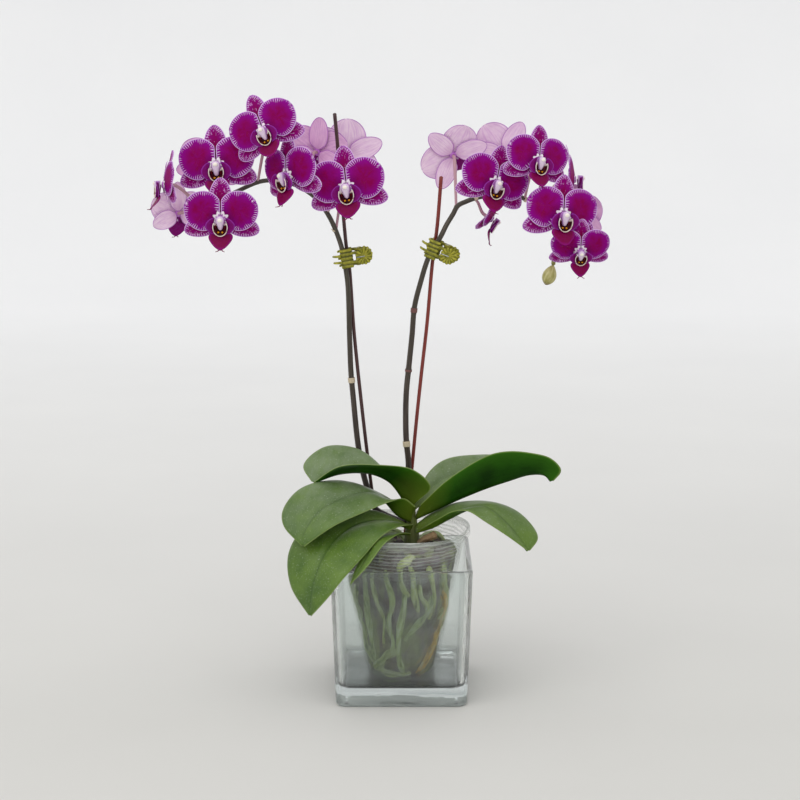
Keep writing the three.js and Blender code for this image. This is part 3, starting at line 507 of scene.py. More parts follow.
def petal_face(name, core, ring, mottled):
    """Living petal, upper side: pigment in matt velvety cells. Deep magenta that turns purple outwards,
    short white dashes that run in from a lilac rim, and a white toothed star at the base."""
    look = Look(name, ring, Roughness=0.6, Specular_IOR_Level=0.05)
    rim, depth, base = look.mark("rim"), look.mark("rim", "Y"), look.mark("rim", "Z")
    look.lay(core, depth, 0.8, 9)
    look.lay(ring, look.patches(rim, (0.11, 0.13, 0.1), 2), 0.35, 0.7, 0.4)
    look.lay("#5C0030", base, 13, 4, 0.7)
    # Real dashes are some 0.5 mm wide; one to each 2.1 mm of the rim, up to 5 mm long, so that they show
    dashes = look.add("TexWave", rim, Scale=0.15, Distortion=3.6, Detail=2, Detail_Scale=0.4)[1]
    uneven = look.patches(rim, (0.09, 0.02, 0), 1)
    stretch = look.add("MapRange", uneven, 0.38, 0.62, 0.26, 0)[0]
    limit = look.add("MapRange", depth, 0.6, 4.8, 0.52, 0.99)[0]
    limit = look.add("Math", limit, stretch, operation="ADD")[0]
    over = look.add("Math", dashes, limit, operation="SUBTRACT")[0]
    look.lay("#EBD0F2", over, 0, 0.12, 0.85)
    if mottled:
        # Net of pale flecks about 1.5 mm wide between the veins
        flecks = look.patches(look.mark("fan"), (6.5, 0.36, 0), 2, Distortion=0.6)
        limit = look.add("MapRange", depth, 0, 7, 0.5, 0.64)[0]
        over = look.add("Math", flecks, limit, operation="SUBTRACT")[0]
        look.lay("#D79FE0", over, 0, 0.06, 0.65)
    look.lay("#9A34B0", depth, 1.6, 0.8, 0.7)
    look.lay("#E2C2EA", depth, 0.7, 0.4, 0.9)
    teeth = look.add("Math", look.mark("fan", "Z"), STAR_TEETH, operation="MULTIPLY")[0]
    teeth = look.add("Math", teeth, operation="SINE")[0]
    star = look.add("Math", teeth, 0.9, base, operation="MULTIPLY_ADD")[0]
    look.lay("#FBF2FA", star, 6.8, 6.2)
    look.lay("#A94FB4", star, 4.4, 3.8, 0.85)
    return look.finish(look.patches(look.mark("fan"), (14, 0.12, 0), 1), 0.0005, 0.4)


def petal_back(name, pale, vein):
    """Living petal, underside: waxy pale lilac, with fine veins that fan out and a purple rim."""
    look = Look(name, pale, Roughness=0.55, Specular_IOR_Level=0.25)
    veins = look.patches(look.mark("fan"), (11, 0.06, 0), 2)
    look.lay(vein, veins, 0.44, 0.68, 0.6)
    look.lay("#C98CC4", look.mark("rim", "Z"), 14, 2, 0.5)
    look.lay(vein, look.patches(look.mark("rim"), (0.09, 0.16, 0.08), 1), 0.4, 0.7, 0.3)
    look.lay("#AC4CC0", look.mark("rim", "Y"), 1.1, 0.3, 0.75)
    return look.finish(veins, 0.0006, 0.5)


def plain_lobe(name, core, edge, width, roughness=0.4, spot=None):
    """Living lip tissue, waxy: one deep colour that turns to another within some millimetres of its rim."""
    look = Look(name, edge, Roughness=roughness, Specular_IOR_Level=0.08)
    look.lay(core, look.mark("rim", "Y"), width * 0.4, width)
    cloud = look.patches(look.mark("fan"), (3, 0.5, 0.3), 2)
    if spot is None:
        look.lay(edge, cloud, 0.4, 0.75, 0.3)
    else:
        look.lay(spot, cloud, 0.56, 0.62, 0.85)
    return look.finish(cloud, 0.0004, 0.4)


def leaf_side(name, dark, light, young, gloss, coat, dust_and_sheen):
    """Living orchid leaf: thick, waxy and smooth, with a sunken midrib, long faint veins, blotches of lighter
    green, a pale rim line that is a painted highlight, and on the side that faces up fine specks and a grey
    bloom, partly dust and partly painted sheen, that is stronger higher up."""
    shine = 0.3 if dust_and_sheen else 0.08
    look = Look(name, dark, Coat_Weight=coat, Coat_Roughness=0.3, Specular_IOR_Level=shine)
    depth, place = look.mark("rim", "Y"), look.place()
    veins = look.patches(look.mark("fan"), (13, 0.016, 0), 2)
    look.lay(light, look.patches(place, (45, 45, 60), 3), 0.35, 0.7)
    look.lay(light, veins, 0.45, 0.7, 0.3)
    if not dust_and_sheen:
        # The underside is lighter where the blade is thin enough to let some light through
        look.lay("#356A12", depth, 11, 1, 0.65)
    look.lay("#566618", look.mark("fan", "Y"), 34, 0, 0.85)
    look.lay(young, look.mark("fan", "Z"), strength=0.8)
    middle = look.add("Math", look.mark("fan", "X"), operation="ABSOLUTE")[0]
    look.lay("#2C4A10", middle, 0.05, 0, 0.6)
    if dust_and_sheen:
        # Grey bloom that grows stronger higher up: partly dust, partly painted sheen from the light above
        dust_and_sheen_height = look.add("MapRange", look.place("Z"), 0.145, 0.187, 0.05, 0.74)[0]
        bloom = look.patches(place, (90, 90, 30), 3, Roughness=0.65)
        bloom = look.add("MapRange", bloom, 0.3, 0.62, 0.35, 1)[0]
        look.lay("#7C8C6C", look.add("Math", dust_and_sheen_height, bloom, operation="MULTIPLY")[0])
        look.lay("#C4D0B4", look.patches(place, (1100, 1100, 1100), 1), 0.67, 0.73, 0.4)
    # Pale rim line: a painted highlight along the leaf's rounded edge
    look.lay("#8FA45A", depth, 0.9, 0.3, 0.5)
    worn = look.patches(place, (70, 70, 70), 2)
    look.shade(Roughness=look.add("MapRange", worn, 0.3, 0.7, gloss - 0.06, gloss + 0.1)[0])
    return look.finish(veins, 0.0008, 0.35)


def stem_skin(name, low, high, streak, roughness, tip=None):
    """Living stem: smooth waxy skin with fine streaks along it, in a colour that changes up the stem."""
    look = Look(name, low, Roughness=roughness)
    look.lay(high, look.mark("fan", "X"), 0.15, 0.75)
    streaks = look.patches(look.mark("rim"), (1.4, 0.05, 0.4), 2)
    look.lay(streak, streaks, 0.42, 0.7, 0.55)
    if tip is not None:
        look.lay(tip, look.mark("fan", "Y"))
    return look.finish(streaks, 0.0005, 0.4)


def coated_wire(name, low, high):
    """Steel wire in a drawn plastic coat: smooth with long faint draw lines and a soft shine."""
    look = Look(name, low, Roughness=0.38)
    lines = look.patches(look.mark("rim"), (1.6, 0.03, 0.3), 2)
    look.lay(high, lines, 0.35, 0.7)
    return look.finish(lines, 0.0003, 0.3)


def moulded_green(name):
    """Polypropylene, injection moulded: olive green with a soft grain, and painted shade that darkens its
    grooves and hollows.
    """
    look = Look(name, "#7F7F16", Roughness=0.36, Specular_IOR_Level=0.35)
    look.lay("#B2AC38", look.patches(look.place(), (400, 400, 400), 2), 0.35, 0.65)
    # Painted shade in the grooves between the ribs and lobes, where the rim mark is low
    look.lay("#262C04", look.mark("rim", "Y"), 0.6, 0, 0.9)
    return look.finish(look.patches(look.place(), (1400, 1400, 1400), 1), 0.0002, 0.4)


def drawn_steel(name):
    """Spring steel, drawn wire: bright grey with rings of reflection along the coil."""
    look = Look(name, "#8C8F92", Metallic=1, Roughness=0.28)
    look.lay("#D8DADC", look.patches(look.place(), (300, 300, 1800), 1), 0.3, 0.7)
    return look.finish()


def frosted_film(name):
    """Polypropylene, thermoformed thin: a clear wall that is milky in wavy rings near its mouth."""
    look = Look(name, "#B2B9B1", Roughness=0.35)
    place, height = look.place(), look.place("Z")
    cloud = look.patches(place, (40, 40, 90), 3)
    look.lay("#E0E5DE", cloud, 0.3, 0.7)
    # One milky ring to each 3.1 mm of height
    wave = {"Scale": 101, "Distortion": 2.2, "Detail": 2, "Detail_Scale": 1, "bands_direction": "Z"}
    rings = look.add("MapRange", look.add("TexWave", place, **wave)[1], 0.5, 1)[0]
    upper = look.add("MapRange", height, 0.103, 0.112)[0]
    rings = look.add("Math", rings, upper, operation="MULTIPLY")[0]
    milky = look.add("MapRange", cloud, 0.35, 0.75, 0.04, 0.16)[0]
    milky = look.add("Math", rings, 0.28, milky, operation="MULTIPLY_ADD", use_clamp=True)[0]
    mouth = look.add("MapRange", height, 0.137, 0.144, 0, 0.22)[0]
    look.shade(Alpha=look.add("Math", milky, mouth, operation="ADD", use_clamp=True)[0])
    return look.finish(look.patches(place, (120, 120, 700), 2), 0.0004, 0.3)


def pressed_glass(name):
    """Soda-lime glass, pressed in a mould: clear with a faint green-grey edge and slow waves, and a painted
    contact shadow in a dark band along its foot.
    """
    look = Look(name, "#E4ECEA", Roughness=0, IOR=1.48, Transmission_Weight=1)
    place, height = look.place(), look.place("Z")
    look.lay("#F4F8F7", look.patches(place, (12, 12, 12), 1), 0.3, 0.7)
    look.lay("#B4BDBB", height, 0.016, 0.012)
    # Painted contact shadow: a dark band in the lowest 3 mm of the glass
    look.lay("#3A3F3B", height, 0.003, 0.0012, 0.9)
    # Partly clear walls, because real ones pass more light than a render's few bounces
    look.shade(Alpha=look.add("MapRange", height, 0.012, 0.020, 0.97, 0.82)[0])
    return look.finish(look.patches(place, (60, 60, 30), 2), 0.0012, 0.25)


def pine_bark(name):
    """Pine bark and charcoal, chopped: dull purple-grey chunks with brown edges, dust and green algae."""
    look = Look(name, "#2A232C", Roughness=0.9)
    place = look.place()
    chunks = look.add("TexVoronoi", place, Scale=95, Randomness=1)
    look.lay("#7C727B", look.add("SeparateColor", chunks["Color"])[0])
    look.lay("#6B5B46", chunks["Distance"], 0.35, 0.7, 0.5)
    look.lay("#8F9E66", look.patches(place, (75, 75, 16), 3, Distortion=0.6), 0.5, 0.6, 0.65)
    fibre = look.patches(place, (260, 260, 900), 3)
    look.lay("#8A8170", fibre, 0.5, 0.75, 0.4)
    return look.finish(fibre, 0.001, 0.8)


def root_skin(name):
    """Living aerial root: spongy silver-green skin, yellow or orange where it is old."""
    look = Look(name, "#93A878", Roughness=0.7)
    tone = look.mark("fan", "Y")
    look.lay("#B0BE74", tone, 0, 0.6)
    look.lay("#CDA22E", tone, 0.65, 0.9)
    patches = look.patches(look.mark("rim"), (0.3, 0.09, 0.3), 3)
    look.lay("#CFD8BA", patches, 0.48, 0.6, 0.6)
    look.lay("#4A5230", patches, 0.44, 0.34, 0.8)
    return look.finish(patches, 0.0008, 0.6)


def bud_skin(name):
    """Living bud: waxy olive yellow with faint ribs, purple-brown towards its tip."""
    look = Look(name, "#9E9850", Roughness=0.42)
    patches = look.patches(look.mark("rim"), (0.5, 0.14, 0.3), 2)
    look.lay("#CBC48C", patches, 0.35, 0.7)
    look.lay("#6E5A3C", look.mark("fan", "X"), 0.22, 0, 0.85)
    return look.finish(patches, 0.0006, 0.4)


FINISH = {
    "petal": petal_face("petal_upper_side", "#88004E", "#8C0890", False),
    "sepal": petal_face("sepal_upper_side", "#820046", "#8A0880", True),
    "back": petal_back("petal_underside", "#FFE6F9", "#E2B2E4"),
    # A deeper mauve copy of the petal backs: painted shade for the backs that lie in shadow
    "mauve_back": petal_back("petal_underside_mauve", "#F0C4E6", "#CE92CE"),
    "midlobe": plain_lobe("lip_tip", "#7A0042", "#86086C", 2.5),
    "side_lobe": plain_lobe("lip_side_lobe", "#7C0668", "#92309E", 1.0),
    "throat": plain_lobe("lip_throat", "#32020E", "#F3E6DA", 1.3, 0.35, "#6A0E1C"),
    "callus": plain_lobe("lip_callus", "#E39A1E", "#F0C23A", 0.6, 0.35, "#7A1A10"),
    "column": plain_lobe("column", "#E6D3E8", "#C493D4", 0.9, 0.4),
    "anther": plain_lobe("anther_cap", "#FFF8EC", "#F6E6E0", 0.4, 0.35),
    "leaf_top": leaf_side("leaf_upper_side", "#3E5E14", "#5E7C24", "#64801E", 0.42, 0.2, True),
    # The underside's near-black greens are painted shade, for the side that faces down, away from the light
    "leaf_under": leaf_side("leaf_underside", "#0B2A00", "#184202", "#5E7C20", 0.5, 0.0, False),
    "spike": stem_skin("flower_spike_skin", "#2C1E1A", "#3C3A2C", "#62564C", 0.45, "#C49AA4"),
    "bract": stem_skin("bract_skin", "#CFC0A6", "#CFC0A6", "#9A8468", 0.6),
    "node": stem_skin("red_node_skin", "#6A403E", "#6A403E", "#8E6A60", 0.55),
    "stake_left": coated_wire("coated_wire_brown", "#34181C", "#54302E"),
    "stake_right": coated_wire("coated_wire_red", "#6A1E18", "#90362A"),
    "clip": moulded_green("moulded_clip_plastic"),
    "steel": drawn_steel("drawn_spring_steel"),
    "pot": frosted_film("frosted_pot_film"),
    "glass": pressed_glass("pressed_vase_glass"),
    "bark": pine_bark("chopped_pine_bark"),
    "root": root_skin("aerial_root_skin"),
    "crown": stem_skin("leaf_base_sheath", "#33380F", "#56661A", "#7A7C40", 0.5),
    "stump": stem_skin("dry_leaf_stump", "#6E5A42", "#8A6F50", "#B49A74", 0.8),
    "stalk": stem_skin("bud_stalk_skin", "#6E6A34", "#7E7C40", "#A09A60", 0.5),
    "bud": bud_skin("bud_skin"),
}


# Blooms, in each bloom's own frame: +Z is the way it faces and +Y points to the top sepal

def bloom_matrix(number):
    at, turn, nod, roll, size, _ = BLOOMS[number]
    facing, lift, lean = (math.radians(a) for a in (turn, nod, roll))
    out = np.array([math.sin(facing) * math.cos(lift), -math.cos(facing) * math.cos(lift), math.sin(lift)])
    right = np.array([math.cos(facing), math.sin(facing), 0.0])
    basis = np.stack([right, np.cross(out, right), out], 1)
    spin = np.array([[math.cos(lean), -math.sin(lean), 0], [math.sin(lean), math.cos(lean), 0], [0, 0, 1]])
    matrix = np.eye(4)
    matrix[:3, :3] = basis @ spin * size
    matrix[:3, 3] = at
    return matrix


def depth_marks(outline, flat):
    """Place along the outline and distance to it, for each flat point."""
    gaps = np.linalg.norm(flat[:, None, :] - outline[None, :, :], axis=2)
    return lengths_along(outline)[gaps.argmin(axis=1)], gaps.min(axis=1)


def tepal_place(angle, phase, reach, width, level, fullness, curl, taper):
    """The surface of one sepal or petal, its rim thinned and curled back, narrower at its tip by taper."""
    along = np.array([math.cos(angle), math.sin(angle)])
    across = np.array([-along[1], along[0]])

    def flat_point(t, side):
        swell = np.clip(2 * np.power(t, fullness) - 1, -1, 1)
        claw = np.minimum(1, 0.5 + 3 * t)
        q = side * (width * claw * (1 - taper * t ** 3) * np.sqrt(1 - swell * swell) + 0.02)
        r = TEPAL_START + (reach - TEPAL_START) * t
        return r[:, None] * along + q[:, None] * across, r, q

    there_and_back = np.concatenate([np.linspace(0, 1, OUTLINE_STEPS), np.linspace(1, 0, OUTLINE_STEPS)])
    outline = flat_point(there_and_back, np.repeat((1, -1), OUTLINE_STEPS))[0]

    def place(u, v):
        t = 0.02 + 0.978 * (0.5 - 0.5 * np.cos(math.pi * u))
        side = np.sin(math.pi * (v - 0.5))
        flat, r, q = flat_point(t, side)
        edge, depth = depth_marks(outline, flat)
        base = np.hypot(flat[:, 0], flat[:, 1])
        ripple = 0.5 * np.sin(5 * t + 2 * angle) * side * t
        ripple += 0.45 * np.sin(edge * 0.33 + phase) * np.exp(-depth / 3.5) * t
        fold = 0.42 * np.exp(-(q / 1.6) ** 2) * np.sin(math.pi * t)
        z = level - CONE * base + ripple - fold - curl * np.exp(-depth / 2.2) * t
        half = rows(0, 0, BLADE / 2 * (0.35 + 0.65 * np.minimum(depth / 2.0, 1)))
        fan = rows(side + 3 * phase, r, np.arctan2(flat[:, 1], flat[:, 0]))
        return np.column_stack([flat, z]), half, rows(edge + 61 * phase, depth, base), fan

    return place


def make_tepals(number, phase):
    piece = Piece()
    around = circle(20)
    add_loft(piece, [rows(r * np.cos(around), r * np.sin(around), z) for r, z in HUB], finish=2)
    for k, angle in enumerate(PETAL_ANGLES):
        add_blade(piece, tepal_place(math.radians(angle), phase + k, **PETAL), 26, 18, front=0, back=2)
    for k, angle in enumerate(SEPAL_ANGLES):
        add_blade(piece, tepal_place(math.radians(angle), phase + 2 + k, **SEPAL), 24, 12, front=1, back=2)
    # Backs that lie in shadow take the deeper mauve copy, which is painted shade
    back = "mauve_back" if number in SHADED_BACKS else "back"
    finishes = ["petal", "sepal", back]
    piece.make(f"tepals_{number}", finishes, "petals", [f"bloom_{number}"], bloom_matrix(number))


def midlobe(u, v):
    """The middle lobe: a narrow claw under the throat, then a rounded rhombus with a low keel."""
    side = 2 * v - 1
    spread = np.clip((u - 0.4) / 0.6, 0, 1)
    breadth = 1.9 + 8.4 * np.maximum(np.sin(math.pi * spread ** 0.62), 0) ** 0.9
    breadth = breadth * np.sqrt(1 - np.clip((u - 0.9) / 0.1, 0, 0.985) ** 2)
    q = side * breadth
    y = 0.3 - LIP_LENGTH * u
    keel = 0.5 * np.exp(-(q / 0.9) ** 2) * np.sin(math.pi * u)
    z = 3 + 10 * u ** 2.2 - 0.012 * q * q + keel
    depth = np.minimum((1 - np.abs(side)) * breadth, (1 - u) * 20)
    half = rows(0, 0, 0.5 * (0.4 + 0.6 * np.minimum(depth, 1)))
    return rows(q, y, z), half, rows(u * LIP_LENGTH, depth, np.hypot(q, y)), rows(side, u * LIP_LENGTH, 0)


def side_lobe(wing):
    """A side lobe: a rounded ear that spreads from the rim of the throat and cups forward."""
    def place(u, v):
        arc = np.maximum(np.sin(math.pi * v), 0)
        reach = 6.6 * arc ** 0.55
        x = 4.4 + 1.4 * arc + u * reach
        y = 2.2 - 12.8 * v + u * (1.5 - 3 * v)
        z = 5.6 + 3.6 * u - 2.2 * u * u + 1.5 * u * np.cos(math.pi * v)
        depth = np.minimum((1 - u) * reach, np.minimum(v, 1 - v) * 12)
        thin = 0.4 + 0.6 * np.minimum(depth, 1)
        half = rows(-wing * 0.15 * thin, 0, 0.35 * thin)
        return rows(wing * x, y, z), half, rows(v * 14, depth, np.hypot(x, y)), rows(2 * v - 1, u * 9, 0)
    return place


def throat_cup(u, v):
    """The cup below the column, open at its top: its mouth edge is the pale line round the dark throat."""
    side = 2 * v - 1
    angle = math.radians(-90) + side * math.radians(118)
    reach = 0.2 + 0.8 * np.sin(u * math.pi / 2)
    middle = rows(6.1 * reach * np.cos(angle), 7.7 * reach * np.sin(angle) - 5, 4.3 + 4.4 * u ** 1.5)
    outward = rows(np.cos(angle), np.sin(angle), -0.8)
    depth = np.minimum((1 - u) * 6.5, (1 - np.abs(side)) * 8)
    return middle, -0.3 * outward, rows(angle * 6, depth, 6 * reach), rows(side, u * 8, 0)


def add_column(piece, finish):
    """The column: a stout hood over the throat, whose pale under side narrows down into the lip."""
    around = circle(20)
    rings, rims = [], []
    for y, half_width, high in COLUMN:
        x = half_width * np.cos(around)
        z = (high + COLUMN_LOW) / 2 + (high - COLUMN_LOW) / 2 * np.sin(around)
        rings.append(rows(x, y, z))
        rims.append(rows(around, half_width - np.abs(x), 5 + y))
    add_loft(piece, rings, finish, rims, rims)


def add_ball(piece, centre, radii, finish):
    sides, levels = 14, 9
    around = circle(sides)
    rings, marks = [], []
    for level in range(levels):
        lift = math.pi * (level + 0.35) / (levels - 0.3)
        unit_ring = rows(math.sin(lift) * np.cos(around), math.sin(lift) * np.sin(around), -math.cos(lift))
        rings.append(unit_ring * radii + centre)
        marks.append(rows(np.linspace(0, 6, sides), 2, lift))
    add_loft(piece, rings, finish, marks, marks)


def make_lip(number):
    piece = Piece()
    add_blade(piece, midlobe, 30, 14, front=0, back=1)
    for wing in (1, -1):
        add_blade(piece, side_lobe(wing), 10, 16, front=1, back=1)
        tendril = Curve([(wing * 0.6, -22.4, 11.4), (wing * 1.8, -24, 12.6), (wing * 3.8, -24.2, 15.4)])
        add_tube(piece, tendril.steps(9), np.linspace(0.55, 0.25, 9), sides=8)
        add_ball(piece, (wing * 1.7, -9.6, 6.6), (0.9, 0.8, 0.9), 3)
    add_blade(piece, throat_cup, 12, 30, front=2, back=1)
    add_column(piece, 4)
    add_ball(piece, (0, 1.3, 9.7), (1.9, 1.6, 1.0), 5)
    finishes = ["midlobe", "side_lobe", "throat", "callus", "column", "anther"]
    piece.make(f"lip_{number}", finishes, "flower_lip", [f"bloom_{number}_lip"], bloom_matrix(number))


for order, number in enumerate(BLOOMS):
    make_tepals(number, phase=1.7 * order + 0.4)
    make_lip(number)


# Leaves

def leaf_piece(thick, tone, keel, near, far):
    middle_line, near_line, far_line = (Curve(points) for points in (keel, near, far))
    length = middle_line.lengths[-1]
    end, step = 0.988, 0.01

    def surface(t, v):
        share = np.minimum(t, end)
        spine = middle_line.at(share)
        edge = np.where((v < 0.5)[:, None], near_line.at(share), far_line.at(share))
        reach = np.abs(1 - 2 * v)
        point = spine + (edge - spine) * reach[:, None]
        point[:, 2] += LEAF_ARCH * np.linalg.norm(edge - spine, axis=1) * 4 * reach * (1 - reach)
        return point

    def place(u, v):
        t = u ** 0.9
        side = 2 * v - 1
        reach = np.abs(side)
        forward = surface(np.minimum(t + step, end), v) - surface(np.minimum(t, end - step) - step, v)
        sideways = surface(t, np.minimum(v + step, 1)) - surface(t, np.maximum(v - step, 0))
        normal = unit(np.cross(forward, sideways))
        flip = 1 if np.mean(normal[:, 2]) > 0 else -1
        width = np.linalg.norm(surface(t, 0 * v) - surface(t, 0 * v + 1), axis=1) / 2
        depth = np.minimum((1 - reach) * width, (1 - t) * length)
        thickness = thick * (1 - (1 - LEAF_EDGE) * reach) * (0.45 + 0.55 * np.minimum(depth / 1.5, 1))
        groove = 0.45 * np.exp(-(side * width / 1.5) ** 2)
        middle = surface(t, v) - normal * (flip * groove)[:, None]
        half = normal * (flip * thickness / 2)[:, None]
        return middle, half, rows(t * length, depth, width), rows(side, t * length, tone)

    piece = Piece()
    add_blade(piece, place, 60, 24, front=0, back=1)
    return piece


for name, leaf in LEAVES.items():
    slot = "young_leaf" if name.startswith("small") else "leaf"
    leaf_piece(**leaf).make(f"leaf_blade_{name}", ["leaf_top", "leaf_under"], slot, [f"leaf_{name}"])


# Flower spikes with their pedicels, node sheaths and bracts

def pedicel_path(spike, number):
    _, _, _, _, size, share = BLOOMS[number]
    matrix = bloom_matrix(number)
    root = spike.at(share)[0]
    seat, approach = (matrix[:3, :3] @ (0, 0, z) + matrix[:3, 3] for z in (-3 - 0.3 / size, -11))
    rise = root + (approach - root) * 0.4 + (0, 0, 2)
    return Curve([root, rise, approach, seat]).steps(22)


BRACT = {"clasp": 1.25, "flare": 0.9, "close": 0.7}
SHEATH = {"clasp": 3.1, "flare": 0.1, "close": 0.12}


def add_bract(piece, curve, share, radius, length, turn, finish, clasp, flare, close):
    """A small dry scale that clasps the stem at a node: pointed, or closed round the stem as a sheath."""
    foot = curve.at(share)[0]
    heading = unit(curve.at(min(share + 0.01, 1))[0] - curve.at(share - 0.01)[0])
    side = unit(np.cross(heading, (math.sin(turn), math.cos(turn), 0.2)))
    out = np.cross(side, heading)

    def place(u, v):
        angle = (2 * v - 1) * clasp * (1 - u) ** close
        reach = radius + 0.2 + flare * u ** 2
        outward = np.outer(np.cos(angle), out) + np.outer(np.sin(angle), side)
        point = foot + reach[:, None] * outward + np.outer(length * u, heading)
        return point, 0.14 * unit(outward), rows(angle * reach, u * length, radius), rows(u, 0, angle)

    add_blade(piece, place, 8, 12, front=finish, back=finish)


def spike_radius(share):
    return SPIKE["base"] + (SPIKE["tip"] - SPIKE["base"]) * share


def make_spike(side, nodes, points):
    curve = Curve(points)
    piece = Piece()
    shares = np.linspace(0, 1, 240)
    radii = spike_radius(shares)
    for node, _, _ in nodes:
        radii = radii + 0.55 * np.exp(-((shares - node) / 0.0035) ** 2)
    add_tube(piece, curve.at(shares), radii, sides=20)
    if side == "right":
        # The green stalk of the bud covers the spike's end
        add_tube(piece, curve.at(np.linspace(0.953, 1, 30)), np.linspace(1.85, 1.75, 30), finish=2)
    for node, length, finish in nodes:
        add_bract(piece, curve, node - 0.003, spike_radius(node) + 0.3, length, math.pi, finish, **SHEATH)
    for k, number in enumerate(n for n in BLOOMS if n.startswith(side)):
        path = pedicel_path(curve, number)
        thick = PEDICEL_RADIUS * (1 + 0.25 * np.linspace(-0.3, 1, len(path)))
        add_tube(piece, path, thick, sides=12, tone=0.9)
        add_bract(piece, curve, BLOOMS[number][5], SPIKE["tip"] + 0.6, 3.5, 1.9 * k, 1, **BRACT)
    piece.make(f"flower_spike_{side}", ["spike", "bract", "stalk", "node"], "spike", [f"spike_{side}"])


for side, spike in SPIKES.items():
    make_spike(side, **spike)


# Bud

def make_bud():
    length, width, lean = BUD["length"], BUD["width"], math.radians(BUD["lean"])
    around = circle(36)
    rings, rims, fans = [], [], []
    for share in 0.5 - 0.5 * np.cos(np.linspace(0.08, math.pi - 0.06, 24)):
        z = (share - 0.5) * length
        # Fuller above the middle, and drawn to a blunt point below
        r = width / 2 * math.sin(math.pi * share ** 0.85) ** 0.75
        r = r * (1 + 0.03 * np.cos(3 * around + 0.6) - 0.02 * np.abs(np.sin(1.5 * around)))
        x, y = r * np.cos(around), r * np.sin(around)
        turned = rows(x * math.cos(lean) + z * math.sin(lean), y, z * math.cos(lean) - x * math.sin(lean))
        rings.append(turned + BUD["at"])
        rims.append(rows(around * width / 2, share * length, 0))
        fans.append(rows(share, 0, around))
    piece = Piece()
    add_loft(piece, rings, 0, rims, fans)
    piece.make("closed_bud", ["bud"], "bud", ["bud"])


make_bud()


# Stakes

for side, points in STAKES.items():
    piece = Piece()
    add_tube(piece, Curve(points).steps(90), STAKE_RADIUS, sides=20)
    piece.make(f"wire_stake_{side}", [f"stake_{side}"], f"stake_{side}", [f"stake_{side}"])


# Plant clips. In a clip's own frame +Z runs along its pin, +X points to the grips, and each half is drawn
# on the side that its sign gives: -1 is the front half, which moves

CLIPS = {"clip_left": ((-36.8, 3.4, 377.5), -9, 0), "clip_right": ((35.8, 0.9, 380.5), 20, -15)}
CLIP_HALVES = {
    "jaw": {
        "side": -1, "tines": (-2.7, 2.7), "knuckles": (2.6, 4.8),
        "tine": [(-13.5, 6), (-17, 4.8), (-19.4, 2.8), (-20.4, 1)],
    },
    "back": {
        "side": 1, "tines": (-6, 0, 6), "knuckles": (5.1, 7.3),
        "tine": [(-13.5, 6), (-15.4, 4.6), (-16, 2.6), (-15.9, 1)],
    },
}
CLIP_GRIP = {"x": 5.4, "radius": 6.9, "lobes": 13, "inner": 5.6}
# The grip's dish from its middle out and back: share of its radius, and lift above its inner face
CLIP_DISH = [
    (0.1, 0), (0.9, 0), (0.98, 0.5), (1, 1.1), (0.97, 1.6), (0.88, 1.9), (0.7, 1.9), (0.5, 1.6), (0.34, 1),
    (0.28, 1.1), (0.2, 1.4), (0.05, 1.5),
]
CLIP_ARM = [
    (-6.4, 5), (-4.6, 2.7), (-1.9, 2), (1.9, 2), (2.3, 2.7), (3.6, 5.4), (3.4, 6.4), (0, 5.4), (-3, 5.6),
    (-5.4, 6.2),
]
CLIP_LEG = [(1.4, 2.4), (-1, 5.4), (-0.4, 7.4), (1.6, 8), (6, 7.7)]
KNUCKLE_RADIUS = 2.3
SPRING = {"wire": 0.42, "radius": 1.5, "turns": 5, "half": 2.2, "pin": 0.8, "pin_half": 7.4}


def clip_matrix(at, tilt, turn):
    matrix = Matrix.Rotation(math.radians(turn), 4, "Z") @ Matrix.Rotation(math.radians(tilt), 4, "Y")
    matrix.translation = at
    return np.array(matrix)


def add_jaw_plate(piece, side):
    """The plate that lies along the stems, with five rounded ribs across it."""
    rings, rims = [], []
    for z in np.linspace(-8.1, 8.1, 55):
        rib = abs(math.cos(math.pi * z / 3.4)) ** 1.3 * (0.8 + 0.2 * math.sin(2.1 * z))
        close = math.sqrt(max(1 - (abs(z) / 8.3) ** 6, 0.05))
        high = 5.4 + (0.7 + 0.8 * rib) * close
        left, right = -14 - 0.9 * rib * close, -4.6 + 0.6 * rib * close
        profile = np.array([
            (left, 5.5), (left + 0.5, high - 0.3), (left + 1.6, high), (-11, high + 0.1), (-8, high),
            (right - 1.4, high - 0.2), (right - 0.4, high - 0.5), (right, 5.3), (-6.4, 4.7), (-10, 4.9),
            (-13, 4.8),
        ])
        rings.append(rows(profile[:, 0], side * profile[:, 1], z))
        # The rim mark's middle number is low in the grooves between the ribs, where the clip's material
        # paints shade
        rims.append(rows(profile[:, 0], 0.75 * rib, z))
    add_loft(piece, rings, 0, rims)


def add_grip(piece, side):
    """The round grip: a shallow dish with rounded lobes, and a groove between each two."""
    around = circle(CLIP_GRIP["lobes"] * 8)
    lobe = np.abs(np.cos(CLIP_GRIP["lobes"] / 2 * around))
    rings, rims = [], []
    for share, lift in CLIP_DISH:
        reach = CLIP_GRIP["radius"] * share * (0.93 + 0.12 * lobe * share)
        y = CLIP_GRIP["inner"] + lift
        if lift > 1.2 and share > 0.4:
            y = y + 0.75 * (lobe - 0.6) * min(1, 1.4 * share)
        rings.append(rows(CLIP_GRIP["x"] + reach * np.cos(around), side * y, reach * np.sin(around)))
        # The rim mark's middle number is low in the grooves between the lobes, where the clip's material
        # paints shade
        rims.append(rows(reach, 0.1 + 0.8 * lobe if share > 0.3 else 0.5, 0))
    add_loft(piece, rings, 0, rims)


